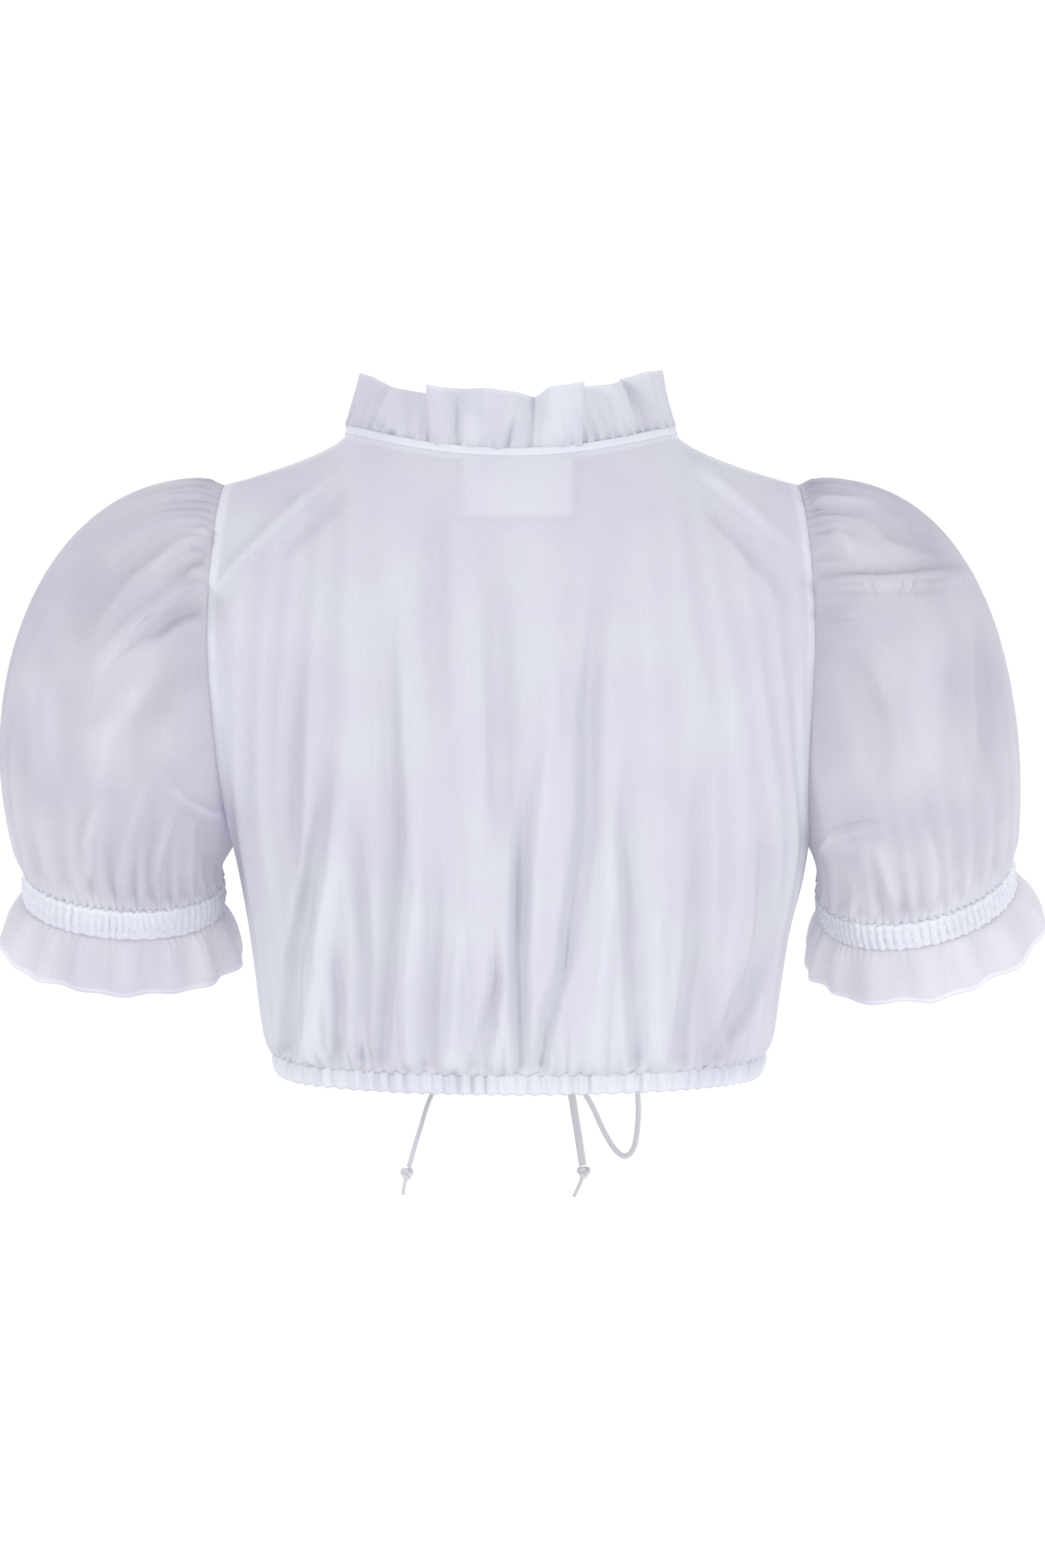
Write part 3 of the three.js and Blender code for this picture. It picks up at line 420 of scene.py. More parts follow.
def round_spline(values, angle):
    """The same for values that go once round, the first at 0 degrees."""
    closed = np.asarray([values[-1], *values, values[0], values[1]], float)
    return spline(closed, 1 + (np.asarray(angle, float) % 360) * len(values) / 360)


def ripple(place, waves, seed=0):
    """Waves from -1 to 1 over places 0 to 1, unevenly long."""
    rng = np.random.default_rng(waves.seed + seed)
    shift = rng.uniform(0, 2 * np.pi, 3)
    drift = sum(np.sin(2 * np.pi * (k + 2) * place + shift[k]) / (k + 2) for k in range(3))
    return np.cos(2 * np.pi * waves.count * place + waves.unevenness * waves.count * 0.12 * drift)


def unevenly(place, wander, seed=0):
    """A value that wanders between low and high as place goes from 0 to 1."""
    rng = np.random.default_rng(wander.seed + seed)
    values = rng.uniform(wander.low, wander.high, wander.steps)
    values[-1] = values[0]
    return np.interp(place, np.linspace(0, 1, wander.steps), values)


def normals_of(points, closed=False):
    """Outward normals of a grid of points."""
    if closed:
        wide = np.concatenate([points[:, -2:-1], points, points[:, 1:2]], axis=1)
        across = wide[:, 2:] - wide[:, :-2]
    else:
        across = np.gradient(points, axis=1)
    normals = np.cross(across, np.gradient(points, axis=0))
    return normals / np.maximum(np.linalg.norm(normals, axis=-1, keepdims=True), 1e-9)


def seen(points):
    """Where the picture shows points: sideways and up, on the plane of the shoulders."""
    x, y, z = CAMERA_PLACE
    nearer = -y / (points[..., 1] - y)
    return x + (points[..., 0] - x) * nearer, z + (points[..., 2] - z) * nearer


def crease_height(crease, across, up):
    """How far one crease moves the cloth at places of the picture."""
    line = np.asarray(crease.line, float)
    lengths = np.linalg.norm(np.diff(line, axis=0), axis=1)
    starts = np.concatenate([[0], np.cumsum(lengths)])
    best = np.full(np.shape(across), 1e9)
    signed = np.zeros_like(best)
    along = np.zeros_like(best)
    for (x0, z0), (x1, z1), length, start in zip(line[:-1], line[1:], lengths, starts):
        ux, uz = (x1 - x0) / length, (z1 - z0) / length
        t = np.clip((across - x0) * ux + (up - z0) * uz, 0, length)
        dx, dz = across - x0 - t * ux, up - z0 - t * uz
        distance = np.hypot(dx, dz)
        nearer = distance < best
        best = np.where(nearer, distance, best)
        signed = np.where(nearer, np.sign(dx * uz - dz * ux) * distance, signed)
        along = np.where(nearer, (start + t) / starts[-1], along)
    width = 0.9 * crease.width * (1 + crease.lean * np.sign(signed))
    tail = smooth(along, 0, 0.25) * (1 - smooth(along, 0.55, 1))
    hanging = (1 - smooth(along, 0.5, 1)) if line[0, 1] < CREASE_HANGS_BELOW else tail
    return crease.depth * hill(signed, width) * hanging


def creased(points, creases):
    across, up = seen(points)
    return sum(crease_height(Crease(*row), across, up) for row in creases)


# The blouse's own lines

def armhole(angle, hand):
    place = round_spline([row.place for row in ARMHOLE], angle)
    place[..., 0] += hand * ARMHOLE_SWAY * (0.5 - 0.5 * np.cos(np.radians(angle))) ** 8
    return place


def neckline(angle):
    c, s = np.cos(np.radians(angle)), np.sin(np.radians(angle))
    depth = np.where(c > 0, NECK_DEPTH["back"], NECK_DEPTH["front"])
    drop = np.where(c > 0, NECK_DROP["back"], NECK_DROP["front"])
    return stack(NECK_HALF_WIDTH * s, -depth * c, -drop * c * c)


def collar_lean(angle):
    c, s = np.cos(np.radians(angle)), np.sin(np.radians(angle))
    sideways = -COLLAR_LEAN["inwards"] * s
    backwards = -np.where(c > 0, COLLAR_LEAN["back"], COLLAR_LEAN["front"]) * c
    lean = stack(sideways, backwards, 1)
    return lean / np.linalg.norm(lean, axis=-1, keepdims=True)


def panel_top(part, s):
    across, side = np.abs(s), np.where(s < 0, -1, 1)
    turn = 90 * np.minimum(across / NECK_SHARE, 1)
    on_neck = neckline(180 - turn if part == "front" else turn) * stack(side, 1, 1)
    along = np.clip((across - NECK_SHARE) / (1 - NECK_SHARE), 0, 1)
    on_shoulder = stack(side * mix(NECK_HALF_WIDTH, SHOULDER_X, along), 0, -SHOULDER_DROP * along**0.65)
    return np.where((across <= NECK_SHARE)[..., None], on_neck, on_shoulder)


def section_point(part, s, level):
    """A point below the armhole: level counts the sections from the casing up."""
    seam_x, seam_z, back_y, back_z, front_y, front_z, sway = np.moveaxis(spline(BODY_SECTIONS, level), -1, 0)
    depth, height = (front_y, front_z) if part == "front" else (back_y, back_z)
    c = np.maximum(0, np.cos(np.pi / 2 * s))
    return stack(seam_x * np.sin(np.pi / 2 * s) + sway, depth * c**0.86, mix(seam_z, height, c**0.8))


def yoke_point(part, s, rise):
    """A point above the armhole's foot, on a curve that bends over to the shoulder or the neckline."""
    low = section_point(part, s, np.full(np.shape(s), len(BODY_SECTIONS) - 1.0))
    top = panel_top(part, s)
    curve = YOKE_CURVES[part]
    towards_neck = 1 - smooth(np.abs(s), 0.1, NECK_SHARE)
    bend = mix(curve.shoulder_bend, curve.neck_bend, towards_neck)
    pitch = np.radians(mix(curve.shoulder_pitch, curve.neck_pitch, towards_neck))
    inwards = -1 if part == "front" else 1
    set_off = stack(0, 0, top[..., 2] - low[..., 2])
    come_in = stack(0, inwards * np.cos(pitch) * bend, np.sin(pitch) * bend)
    t = rise[..., None]
    return (
        low * (1 + t * t * (2 * t - 3)) + top * t * t * (3 - 2 * t)
        + set_off * t * (t - 1) ** 2 + come_in * t * t * (t - 1)
    )


def panel_shape(part, s, up):
    """The plain form of a body panel: s from -1 to 1 across, up from 0 at the casing to 1 at the top."""
    depths = [abs(a.seam_z - b.seam_z) for a, b in zip(BODY_SECTIONS, BODY_SECTIONS[1:])]
    heights = np.concatenate([[0], np.cumsum(depths)]) / sum(depths)
    level = np.interp(up / UNDERARM_ROW, heights, np.arange(len(heights)))
    rise = np.clip((up - UNDERARM_ROW) / (1 - UNDERARM_ROW), 0, 1)
    side = np.where(s < 0, -1.0, 1.0)
    angle = np.interp(rise, YOKE_RISES, YOKE_ANGLES[part])
    edge = np.where((side > 0)[..., None], armhole(angle, 1), armhole(angle, -1) * (-1, 1, 1))
    miss = (edge - yoke_point(part, side, rise)) * (np.abs(s) ** 2.2)[..., None]
    above = yoke_point(part, s, rise) + miss
    return np.where((up <= UNDERARM_ROW)[..., None], section_point(part, s, level), above)


def cuff_point(arm, angle, along, wider):
    """A point round a cuff on the wearer's right, at a distance along the arm."""
    raised, swing = math.radians(arm.raised), math.radians(arm.swing)
    outwards = np.array([math.cos(raised), 0, math.sin(raised)])
    down = np.array([math.sin(raised), 0, -math.cos(raised)])
    forward = np.array([0, 1, 0])
    along_arm = down * math.cos(swing) + forward * math.sin(swing)
    backwards = down * math.sin(swing) - forward * math.cos(swing)
    angle, along, wider = (np.asarray(v, float)[..., None] for v in (angle, along, wider))
    return (
        np.array(arm.cuff) + along_arm * along
        + outwards * (CUFF_HALF_WIDTH + wider) * np.cos(np.radians(angle))
        + backwards * (CUFF_HALF_DEPTH + wider) * np.sin(np.radians(angle))
    )


def sleeve_shape(arm, angle, t):
    """The plain puff: each line runs from the armhole to the cuff and swells between them."""
    leave = round_spline([row.leave for row in ARMHOLE], angle)
    arrive = round_spline([row.arrive for row in ARMHOLE], angle)
    start = armhole(angle, arm.hand) + (1.5 * SEAM_GAP, 0, 0)
    end = cuff_point(arm, angle, 0, 0)
    bulge = stack(arm.bulge * (0.5 + 0.5 * np.cos(np.radians(angle))), 0, 0)
    p1, p2 = start + leave, end + arrive + bulge
    t = t[..., None]
    return start * (1 - t) ** 3 + 3 * p1 * t * (1 - t) ** 2 + 3 * p2 * t * t * (1 - t) + end * t**3


# Placing every piece

def grid_shares(columns, rows):
    """How far across and how far up the corners of a grid are, from 0 to 1."""
    return np.meshgrid(np.linspace(0, 1, columns + 1), np.linspace(0, 1, rows + 1))


def relaxed(points, share, times):
    """A grid with its bends evened out inside its edges, by a share for each of its rows."""
    points = points.copy()
    for _ in range(times):
        inner = points[1:-1, 1:-1]
        around = points[1:-1, :-2] + points[1:-1, 2:] + points[:-2, 1:-1] + points[2:, 1:-1]
        points[1:-1, 1:-1] = mix(inner, around / 4, share[1:-1, 1:-1, None])
    return points


@lru_cache
def panel(part):
    """The back, or both fronts in one, with its folds: its points, how near the doubled colour it is at each
    place (for its seams and label, and as painted light and shade on its folds), and its normals.
    """
    creases = FRONT_CREASES if part == "front" else BACK_CREASES
    seed = PANEL_SEED[part]
    across, up = grid_shares(*PANEL_GRID)
    s = 1 - 2 * across if part == "front" else 2 * across - 1
    evened = smooth(1 - up, 0, 0.12) * smooth(up, 0.04, 0.12) * smooth(1 - np.abs(s), 0, 0.08)
    plain = relaxed(panel_shape(part, s, up), evened, 160)
    normals = normals_of(plain)
    above = plain[..., 2] - plain[:1, :, 2]
    edge = smooth(1 - np.abs(s), 0, 0.1)
    placket = smooth(np.abs(s), 0.05, 0.14) if part == "front" else 1
    hem = 1 - np.exp(-above / 2.5)
    length = unevenly(across, HEM_PLEAT_LENGTHS, seed)
    height = unevenly(across, HEM_PLEAT_HEIGHTS, seed)
    pleats = height * ripple(across, HEM_PLEATS, seed) * np.exp(-above / length) * hem
    streams = 0.8 * ripple(across + 0.02 * up, STREAMS, seed)
    streams = streams * np.exp(-above / 110) * smooth(above, 0, 30)
    creep = 0.7 * ripple(across + 0.03 * up, CREEP, seed)
    creep = creep * smooth(1 - up, 0, 0.35) * smooth(up, 0, 0.4)
    below_neck = np.exp(-(1 - up) * 22) * (1 - smooth(np.abs(s), NECK_SHARE - 0.1, NECK_SHARE))
    neck_pleats = 0.3 * ripple(across, NECK_PLEATS, seed) * below_neck * smooth(1 - up, 0, 0.02)
    folds = CREASE_DEPTH * creased(plain, creases) * smooth(above, -1, 6)
    moves = ((folds + creep + streams) * placket + pleats + neck_pleats) * edge
    points = plain + normals * moves[..., None]
    # Fold ridges are painted nearer the doubled colour and hollows are left plain: painted light and shade
    # on the folds.
    painted_fold_light = FOLD_PAINTED_LIGHT * smooth(moves, -3, 2.5)
    return points, np.maximum(body_layers(part, points, s, up), painted_fold_light), normals_of(points)


def body_layers(part, points, s, up):
    """Near 1 where a seam allowance or the label lies under the cloth, 0 where it is single."""
    from_armhole = (1 - np.abs(s)) * SIDE_REACH
    allowance = SEAM_ALLOWANCE * mix(1, 2.1, smooth(0.8 - up, 0, 0.35))
    seams = 1 - smooth(from_armhole, 0.6 * allowance, 1.2 * allowance)
    beside = 0.55 * (1 - smooth(from_armhole, 20, 40)) * hill(up - 0.52, 0.2)
    seams = np.where(up > UNDERARM_ROW - 0.03, np.maximum(0.85 * seams, beside), 0.5 * seams)
    from_top = (1 - up) * PANEL_HEIGHT
    shoulder = (1 - smooth(from_top, 5, 7)) * 0.7
    label = 0
    if part == "back":
        within = [
            1 - smooth(np.abs(place - middle), *fade)
            for place, middle, fade in zip(seen(points), LABEL_MIDDLE, LABEL_FADE)
        ]
        label = 0.8 * (within[0] * within[1])
    return np.maximum.reduce(np.broadcast_arrays(seams, shoulder, label))


def read_grid(values, across, up):
    """Values of a panel's grid at places between its corners."""
    column = np.clip(across, 0, 1) * (values.shape[1] - 1)
    row = np.clip(up, 0, 1) * (values.shape[0] - 1)
    c = np.minimum(column.astype(int), values.shape[1] - 2)
    r = np.minimum(row.astype(int), values.shape[0] - 2)
    u, v = (column - c)[..., None], (row - r)[..., None]
    low = mix(values[r, c], values[r, c + 1], u)
    return mix(low, mix(values[r + 1, c], values[r + 1, c + 1], u), v)


def on_panel(part, low_across, high_across, low_up, high_up, lift, relief):
    """The place function of a strip that lies on a panel, clear of it by lift."""

    def place(across, up):
        points, _, normals = panel(part)
        at = mix(low_across, high_across, across), mix(low_up, high_up, up)
        raised = read_grid(normals, *at) * (lift + relief(across, up))[..., None]
        return read_grid(points, *at) + raised, np.ones_like(across)

    return place


def stitched_edges(across, up):
    """The slight dips along the rows of stitches beside a strip's long edges."""
    return -0.35 * (hill(across - 0.12, 0.05) + hill(across - 0.88, 0.05)) + 0.12 * ripple(up, STITCHES)


def softly(values, times):
    """Rows of values with their corners rounded, more with each time."""
    for _ in range(times):
        inner = (values[:, :-2] + 2 * values[:, 1:-1] + values[:, 2:]) / 4
        values = np.concatenate([values[:, :1], inner, values[:, -1:]], axis=1)
    return values


def binding_place(across, up):
    angle = mix(-COLLAR_STOP, COLLAR_STOP, across)
    height = mix(-0.8, BINDING_HEIGHT + 0.5, up)[..., None]
    plain = neckline(angle) + collar_lean(angle) * height
    normals = normals_of(plain)
    rolled = 0.6 + 0.2 * np.sqrt(np.clip(1 - (2 * up - 1) ** 2, 0, 1))
    gathers = 0.12 * ripple(across, BINDING_GATHERS)
    return plain + normals * (rolled + gathers)[..., None], np.ones_like(across)


def collar_frill_place(across, up):
    lean_back = 2.2 * (1 - up) * ripple(across, COLLAR_SWAY)
    angle = mix(-COLLAR_STOP, COLLAR_STOP, across)
    angles = [row.angle for row in COLLAR_FRILL]
    facets = np.interp(angle + lean_back, angles, [row.out for row in COLLAR_FRILL])
    rounded = smooth(np.abs(angle), 84, 112)
    out = mix(2.1 * softly(facets, 2), 1.7 * softly(facets, 60), rounded)
    folded = softly(np.interp(angle + lean_back, angles, [row.folded for row in COLLAR_FRILL]), 2)
    height = softly(np.interp(angle, angles, [row.height for row in COLLAR_FRILL]), 1)
    rise = mix(0.5 * BINDING_HEIGHT, BINDING_HEIGHT + SEAM_GAP + height, up)
    plain = neckline(angle) + collar_lean(angle) * rise[..., None]
    normals = normals_of(plain)
    gathers = 0.9 * unevenly(across, COLLAR_GATHER_HEIGHTS) * ripple(across, COLLAR_GATHERS)
    gathers = gathers * (1 - up) ** 5
    pleats = 2.6 * unevenly(across, COLLAR_PLEAT_HEIGHTS) * ripple(across + 0.012 * up, COLLAR_PLEATS)
    pleats = pleats * (1 - up) ** 1.7
    mirrored = plain * np.where(np.abs(angle) > 90, -1, 1)[..., None] * (1, 0, 0) + plain * (0, 1, 1)
    folds = creased(mirrored, COLLAR_CREASES)
    points = plain + normals * (out * up**0.75 + (gathers + pleats + folds) * smooth(up, 0, 0.1))[..., None]
    edge = 0.9 * (1 - smooth(1 - up, 0.02, 0.05))
    # Folded facets get the doubled colour: partly the cloth lying double, partly painted light on the facets
    # that catch the light.
    return points, np.maximum(0.45 * folded * smooth(up, 0, 0.25), edge)


def casing_place(across, up):
    angle = mix(-178.2, 178.2, across)
    in_front = np.abs(angle) > 90
    s = np.where(in_front, np.sign(angle) * (180 - np.abs(angle)), angle) / 90
    level = np.zeros_like(s)
    back, front = section_point("back", s, level), section_point("front", s, level)
    base = np.where(in_front[..., None], front, back)
    uneven_edge = 0.9 * ripple(across, CASING_SEAM) * up
    down = mix(CASING_HEIGHT, -2.2, up) + uneven_edge
    plain = base - stack(0, 0, down)
    normals = normals_of(plain)
    tunnel = np.sqrt(np.clip(1 - (2 * up - 1) ** 2, 0, 1))
    height_of = unevenly(across, CASING_GATHER_HEIGHTS)
    gathers = height_of * ripple(across, CASING_GATHERS) * mix(0.6, 1.2, tunnel)
    creases = 0.45 * ripple(across, CASING_CREASES) * tunnel
    drawn_in = CASING_DRAWN_IN * (1 - up) ** 2
    points = plain + normals * (0.5 + 0.6 * tunnel + gathers + creases - drawn_in)[..., None]
    points[..., 2] -= 0.5 * ripple(across, CASING_EDGE_GATHERS) * (1 - up)
    return points, mix(0.95, 0.5, up)


def to_side(arm, points):
    return points * (arm.hand, 1, 1)


def arm_angle(arm, across):
    """Degrees round the arm, so that both sleeves' faces point outwards."""
    return 360 * across if arm.hand > 0 else 360 * (1 - across)


def sleeve_place(arm):
    def place(across, up):
        angle = arm_angle(arm, across)
        t = mix(up, smooth(up, -0.1, 1.1), 0.5)
        t = (t - t.min()) / (t.max() - t.min())
        plain = sleeve_shape(arm, angle, t)
        normals = normals_of(to_side(arm, plain), closed=True) * (arm.hand, 1, 1)
        over = 0.5 + 0.5 * np.cos(np.radians(angle))
        head = 4.4 * over**3 * ripple(across, HEAD_GATHERS) * np.exp(-t * 17) * smooth(t, 0, 0.03)
        fans = 2.8 * over**1.6 * ripple(across, HEAD_FANS) * np.exp(-t * 8) * smooth(t, 0, 0.07)
        foot = 1.2 * ripple(across, BAND_GATHERS) * np.exp(-(1 - t) * 20)
        rays = 2.8 * ripple(across, BAND_RAYS) * np.exp(-(1 - t) * 6) * smooth(1 - t, 0, 0.05)
        world = to_side(arm, plain)
        ends = smooth(t, 0, 0.03) * smooth(1 - t, 0, 0.04)
        behind = creased(world, SLEEVE_CREASES[arm.side, "back"]) * smooth(-normals[..., 1], 0, 0.35)
        before = creased(world, SLEEVE_CREASES[arm.side, "front"]) * smooth(normals[..., 1], 0, 0.35)
        drags = SLEEVE_CREASE_DEPTH * np.where(normals[..., 1] < 0, behind, before) * ends
        tucked = np.where(up == 0, 2.2 - over, 0)
        points = plain + normals * (head + fans + foot + rays + drags - tucked)[..., None]
        points[..., 0] -= 2.2 * tucked
        # Ridges of the fans, rays and drags are painted nearer the doubled colour: painted light and shade
        # on the folds.
        painted_fold_light = FOLD_PAINTED_LIGHT * smooth(fans + rays + drags, -3.5, 4)
        # The sleeve's last part above the cuff is painted in the doubled colour: painted light that lifts
        # the shade where the puff turns in to the band.
        layers = np.maximum(0.8 * (1 - smooth(1 - t, 0, 0.06)), painted_fold_light)
        return to_side(arm, points), layers

    return place


def band_place(arm):
    def place(across, up):
        angle = arm_angle(arm, across)
        uneven_edge = 1.3 * ripple(across, BAND_SEAM)
        along = mix(CUFF_BAND + 0.5 + 0.5 * uneven_edge, -0.5 + 0.5 * uneven_edge, up)
        tunnel = np.sqrt(np.clip(1 - (2 * up - 1) ** 2, 0, 1))
        stitched = hill(up - 0.25, 0.08) + hill(up - 0.75, 0.08)
        height = unevenly(across, BAND_GATHER_HEIGHTS)
        gathers = height * ripple(across, BAND_GATHERS) * (1 - 0.5 * stitched)
        wander = 0.4 * ripple(across + 0.004 * np.sin(9 * up), BAND_CREASES)
        wider = 0.9 * tunnel - 0.3 * stitched + gathers * mix(0.3, 1, tunnel) + wander * tunnel
        return to_side(arm, cuff_point(arm, angle, along, wider)), np.ones_like(across)

    return place


def cuff_frill_place(arm):
    def place(across, up):
        angle = arm_angle(arm, across)
        t = 1 - up
        wave = np.sin(np.radians(CUFF_SCALLOPS * angle + 30 * np.sin(np.radians(2 * angle))))
        folds = ripple(across, CUFF_FOLDS, arm.hand)
        gathers = 1.4 * ripple(across, BAND_GATHERS) * np.exp(-t * 9) * smooth(t, 0, 0.05)
        flare = CUFF_FLARE * t**0.65 + 1.4 * t * wave
        wider = flare + 6.5 * folds * t**0.7 * (1 - 0.8 * t) + gathers
        along = CUFF_BAND + SEAM_GAP + t * CUFF_FRILL
        edge = 1 - smooth(up, 0.05, 0.085)
        rolled = 0.4 * hill(up - 0.03, 0.05)
        # The frill's fold ridges are painted nearer the doubled colour: painted light and shade on the
        # folds.
        painted_fold_light = 0.5 * FOLD_PAINTED_LIGHT * smooth(folds, -0.5, 1) * smooth(t, 0, 0.1)
        return to_side(arm, cuff_point(arm, angle, along, wider + rolled)), np.maximum(edge, painted_fold_light)

    return place


# Mesh making

def cloth(name, place, columns, rows, closed=False):
    """A shell of cloth: a flat grid moved to where place puts its corners."""
    points, layers = place(*grid_shares(columns, rows))
    mesh = bmesh.new()
    mesh.loops.layers.uv.new("cloth")
    doubled_and_painted_light = mesh.verts.layers.float.new("doubled_and_painted_light")
    bmesh.ops.create_grid(mesh, x_segments=columns, y_segments=rows, size=0.5, calc_uvs=True)
    for vert in mesh.verts:
        column, row = round((vert.co.x + 0.5) * columns), round((vert.co.y + 0.5) * rows)
        vert[doubled_and_painted_light] = layers[row, column]
        vert.co = points[row, column] * MM
    if closed:
        bmesh.ops.remove_doubles(mesh, verts=mesh.verts, dist=1e-6)
    return new_object(name, mesh)


def new_object(name, mesh):
    """A smooth object in the scene from a bmesh, which is freed."""
    for face in mesh.faces:
        face.smooth = True
    data = bpy.data.meshes.new(name)
    mesh.to_mesh(data)
    mesh.free()
    piece = bpy.data.objects.new(name, data)
    bpy.context.scene.collection.objects.link(piece)
    return piece


def finish_piece(piece, slot, node):
    """Give a piece its finish, hang it on the body's empty, and hide the CAD part that it stands for."""
    piece.data.materials.append(finish_for(slot))
    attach(piece, BODY)
    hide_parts(node)
    return piece


def thicken(piece, thickness):
    shell = piece.modifiers.new("Thickness", "SOLIDIFY")
    shell.thickness = thickness
    shell.offset = -1
    shell.use_rim = True


def sew(name, place, grid, thickness, slot, node, closed=False):
    """Cut a cloth piece and give it its thickness and its finish."""
    piece = cloth(name, place, *grid, closed=closed)
    thicken(piece, thickness)
    return finish_piece(piece, slot, node)


def turned(mesh, profile, steps):
    """Spin a profile of (distance from the axis, height) once round the upright axis."""
    verts = [mesh.verts.new((x, 0, z)) for x, z in profile]
    edges = [mesh.edges.new(pair) for pair in zip(verts, verts[1:])]
    bmesh.ops.spin(
        mesh, geom=verts + edges, cent=(0, 0, 0), axis=(0, 0, 1), angle=2 * math.pi, steps=steps,
        use_merge=True, use_duplicate=False,
    )


def route(points, steps):
    """Evenly numbered places on a smooth curve through given points, in metres."""
    return spline(points, np.linspace(0, len(points) - 1, steps + 1)) * MM


def tape(name, path, facing, width, thickness, sides=12):
    """A flat tape along a path; facing is the direction that its flat side shows, at each end."""
    tangents = np.gradient(path, axis=0)
    tangents /= np.linalg.norm(tangents, axis=1, keepdims=True)
    share = np.linspace(0, 1, len(path))[:, None]
    front = mix(np.asarray(facing[0], float), np.asarray(facing[1], float), share)
    front -= tangents * np.sum(front * tangents, axis=1, keepdims=True)
    front /= np.linalg.norm(front, axis=1, keepdims=True)
    wide = np.cross(tangents, front)
    rows = len(path) - 1
    mesh = bmesh.new()
    mesh.loops.layers.uv.new("cloth")
    mesh.verts.layers.float.new("doubled_and_painted_light")
    bmesh.ops.create_grid(mesh, x_segments=sides, y_segments=rows, size=0.5, calc_uvs=True)
    for vert in mesh.verts:
        turn = 2 * math.pi * (vert.co.x + 0.5)
        row = round((vert.co.y + 0.5) * rows)
        c, s = math.cos(turn), math.sin(turn)
        flat = math.copysign(abs(s) ** 0.5, s)
        vert.co = path[row] + wide[row] * c * width / 2 + front[row] * flat * thickness / 2
    bmesh.ops.remove_doubles(mesh, verts=mesh.verts, dist=1e-7)
    bmesh.ops.holes_fill(mesh, edges=mesh.edges, sides=0)
    bmesh.ops.recalc_face_normals(mesh, faces=mesh.faces)
    return new_object(name, mesh)


def button(name, middle, normal, size):
    """A dished button with a rounded rim, and the threads that cross its middle."""
    mesh = bmesh.new()
    mesh.loops.layers.uv.new("cloth")
    turned(mesh, BUTTON_PROFILE, 32)
    bmesh.ops.remove_doubles(mesh, verts=mesh.verts, dist=1e-5)
    bmesh.ops.recalc_face_normals(mesh, faces=mesh.faces)
    for turn in (45, 135):
        thread = bmesh.ops.create_cone(
            mesh, cap_ends=True, segments=10,
            radius1=THREAD_RADIUS, radius2=THREAD_RADIUS, depth=THREAD_LENGTH,
        )["verts"]
        for angle, axis in ((90, "Y"), (turn, "Z")):
            laid = Matrix.Rotation(math.radians(angle), 3, axis)
            bmesh.ops.rotate(mesh, verts=thread, cent=(0, 0, 0), matrix=laid)
        bmesh.ops.translate(mesh, verts=thread, vec=(0, 0, THREAD_HEIGHT))
    bmesh.ops.scale(mesh, verts=mesh.verts, vec=(size, size, size))
    facing = Vector(normal).to_track_quat("Z", "Y").to_matrix()
    bmesh.ops.rotate(mesh, verts=mesh.verts, cent=(0, 0, 0), matrix=facing)
    bmesh.ops.translate(mesh, verts=mesh.verts, vec=Vector(middle))
    return new_object(name, mesh)


def overhand(centre, size, steps=48):
    """The path of a tape tied in a knot, filling a size about its centre."""
    turn = np.linspace(0, 2 * np.pi, steps + 1)
    x = np.sin(turn) + 2 * np.sin(2 * turn)
    z = np.cos(turn) - 2 * np.cos(2 * turn)
    y = -np.sin(3 * turn)
    return (np.asarray(centre) + stack(x / 6, y / 3, z / 6) * size) * MM


# Finishes

def set_sockets(node, values):
    for socket, value in values.items():
        node.inputs[socket].default_value = value


def add_node(tree, kind, values=None, links=None, **settings):
    """A node with its settings, the values of its sockets, and what is linked to them."""
    node = tree.nodes.new(kind)
    for key, value in settings.items():
        setattr(node, key, value)
    set_sockets(node, values or {})
    for socket, source in (links or {}).items():
        tree.links.new(source, node.inputs[socket])
    return node


def new_material(name):
    """A material, its nodes, its main shader, and the place on the piece that its patterns follow."""
    material = bpy.data.materials.new(name)
    material.use_nodes = True
    tree = material.node_tree
    place = add_node(tree, "ShaderNodeTexCoord").outputs["Object"]
    return material, tree, tree.nodes["Principled BSDF"], place


def noise(tree, place, scale, detail):
    values = {"Scale": scale, "Detail": detail}
    return add_node(tree, "ShaderNodeTexNoise", values, {"Vector": place}).outputs["Fac"]


def threads(tree, place, stretch):
    """Fine noise, drawn out along the threads of one direction."""
    mapping = add_node(tree, "ShaderNodeMapping", {"Scale": stretch}, {"Vector": place})
    return noise(tree, mapping.outputs["Vector"], 1, 1)


def multiplied(tree, first, second):
    """The product of two colours."""
    links = {"A": first, "B": second}
    product = add_node(tree, "ShaderNodeMix", {"Factor": 1}, links, data_type="RGBA", blend_type="MULTIPLY")
    return product.outputs["Result"]


def tones(tree, share, stops):
    """The colour that a share from 0 to 1 has between two stops."""
    ramp = add_node(tree, "ShaderNodeValToRGB", links={"Fac": share})
    for element, (position, colour) in zip(ramp.color_ramp.elements, stops):
        element.position = position
        element.color = (*colour, 1)
    return ramp.outputs["Color"]


def remapped(tree, value, low, high, from_low=0, from_high=1):
    """A value moved from one range to another."""
    ends = {"From Min": from_low, "From Max": from_high, "To Min": low, "To Max": high}
    return add_node(tree, "ShaderNodeMapRange", ends, {"Value": value}).outputs["Result"]


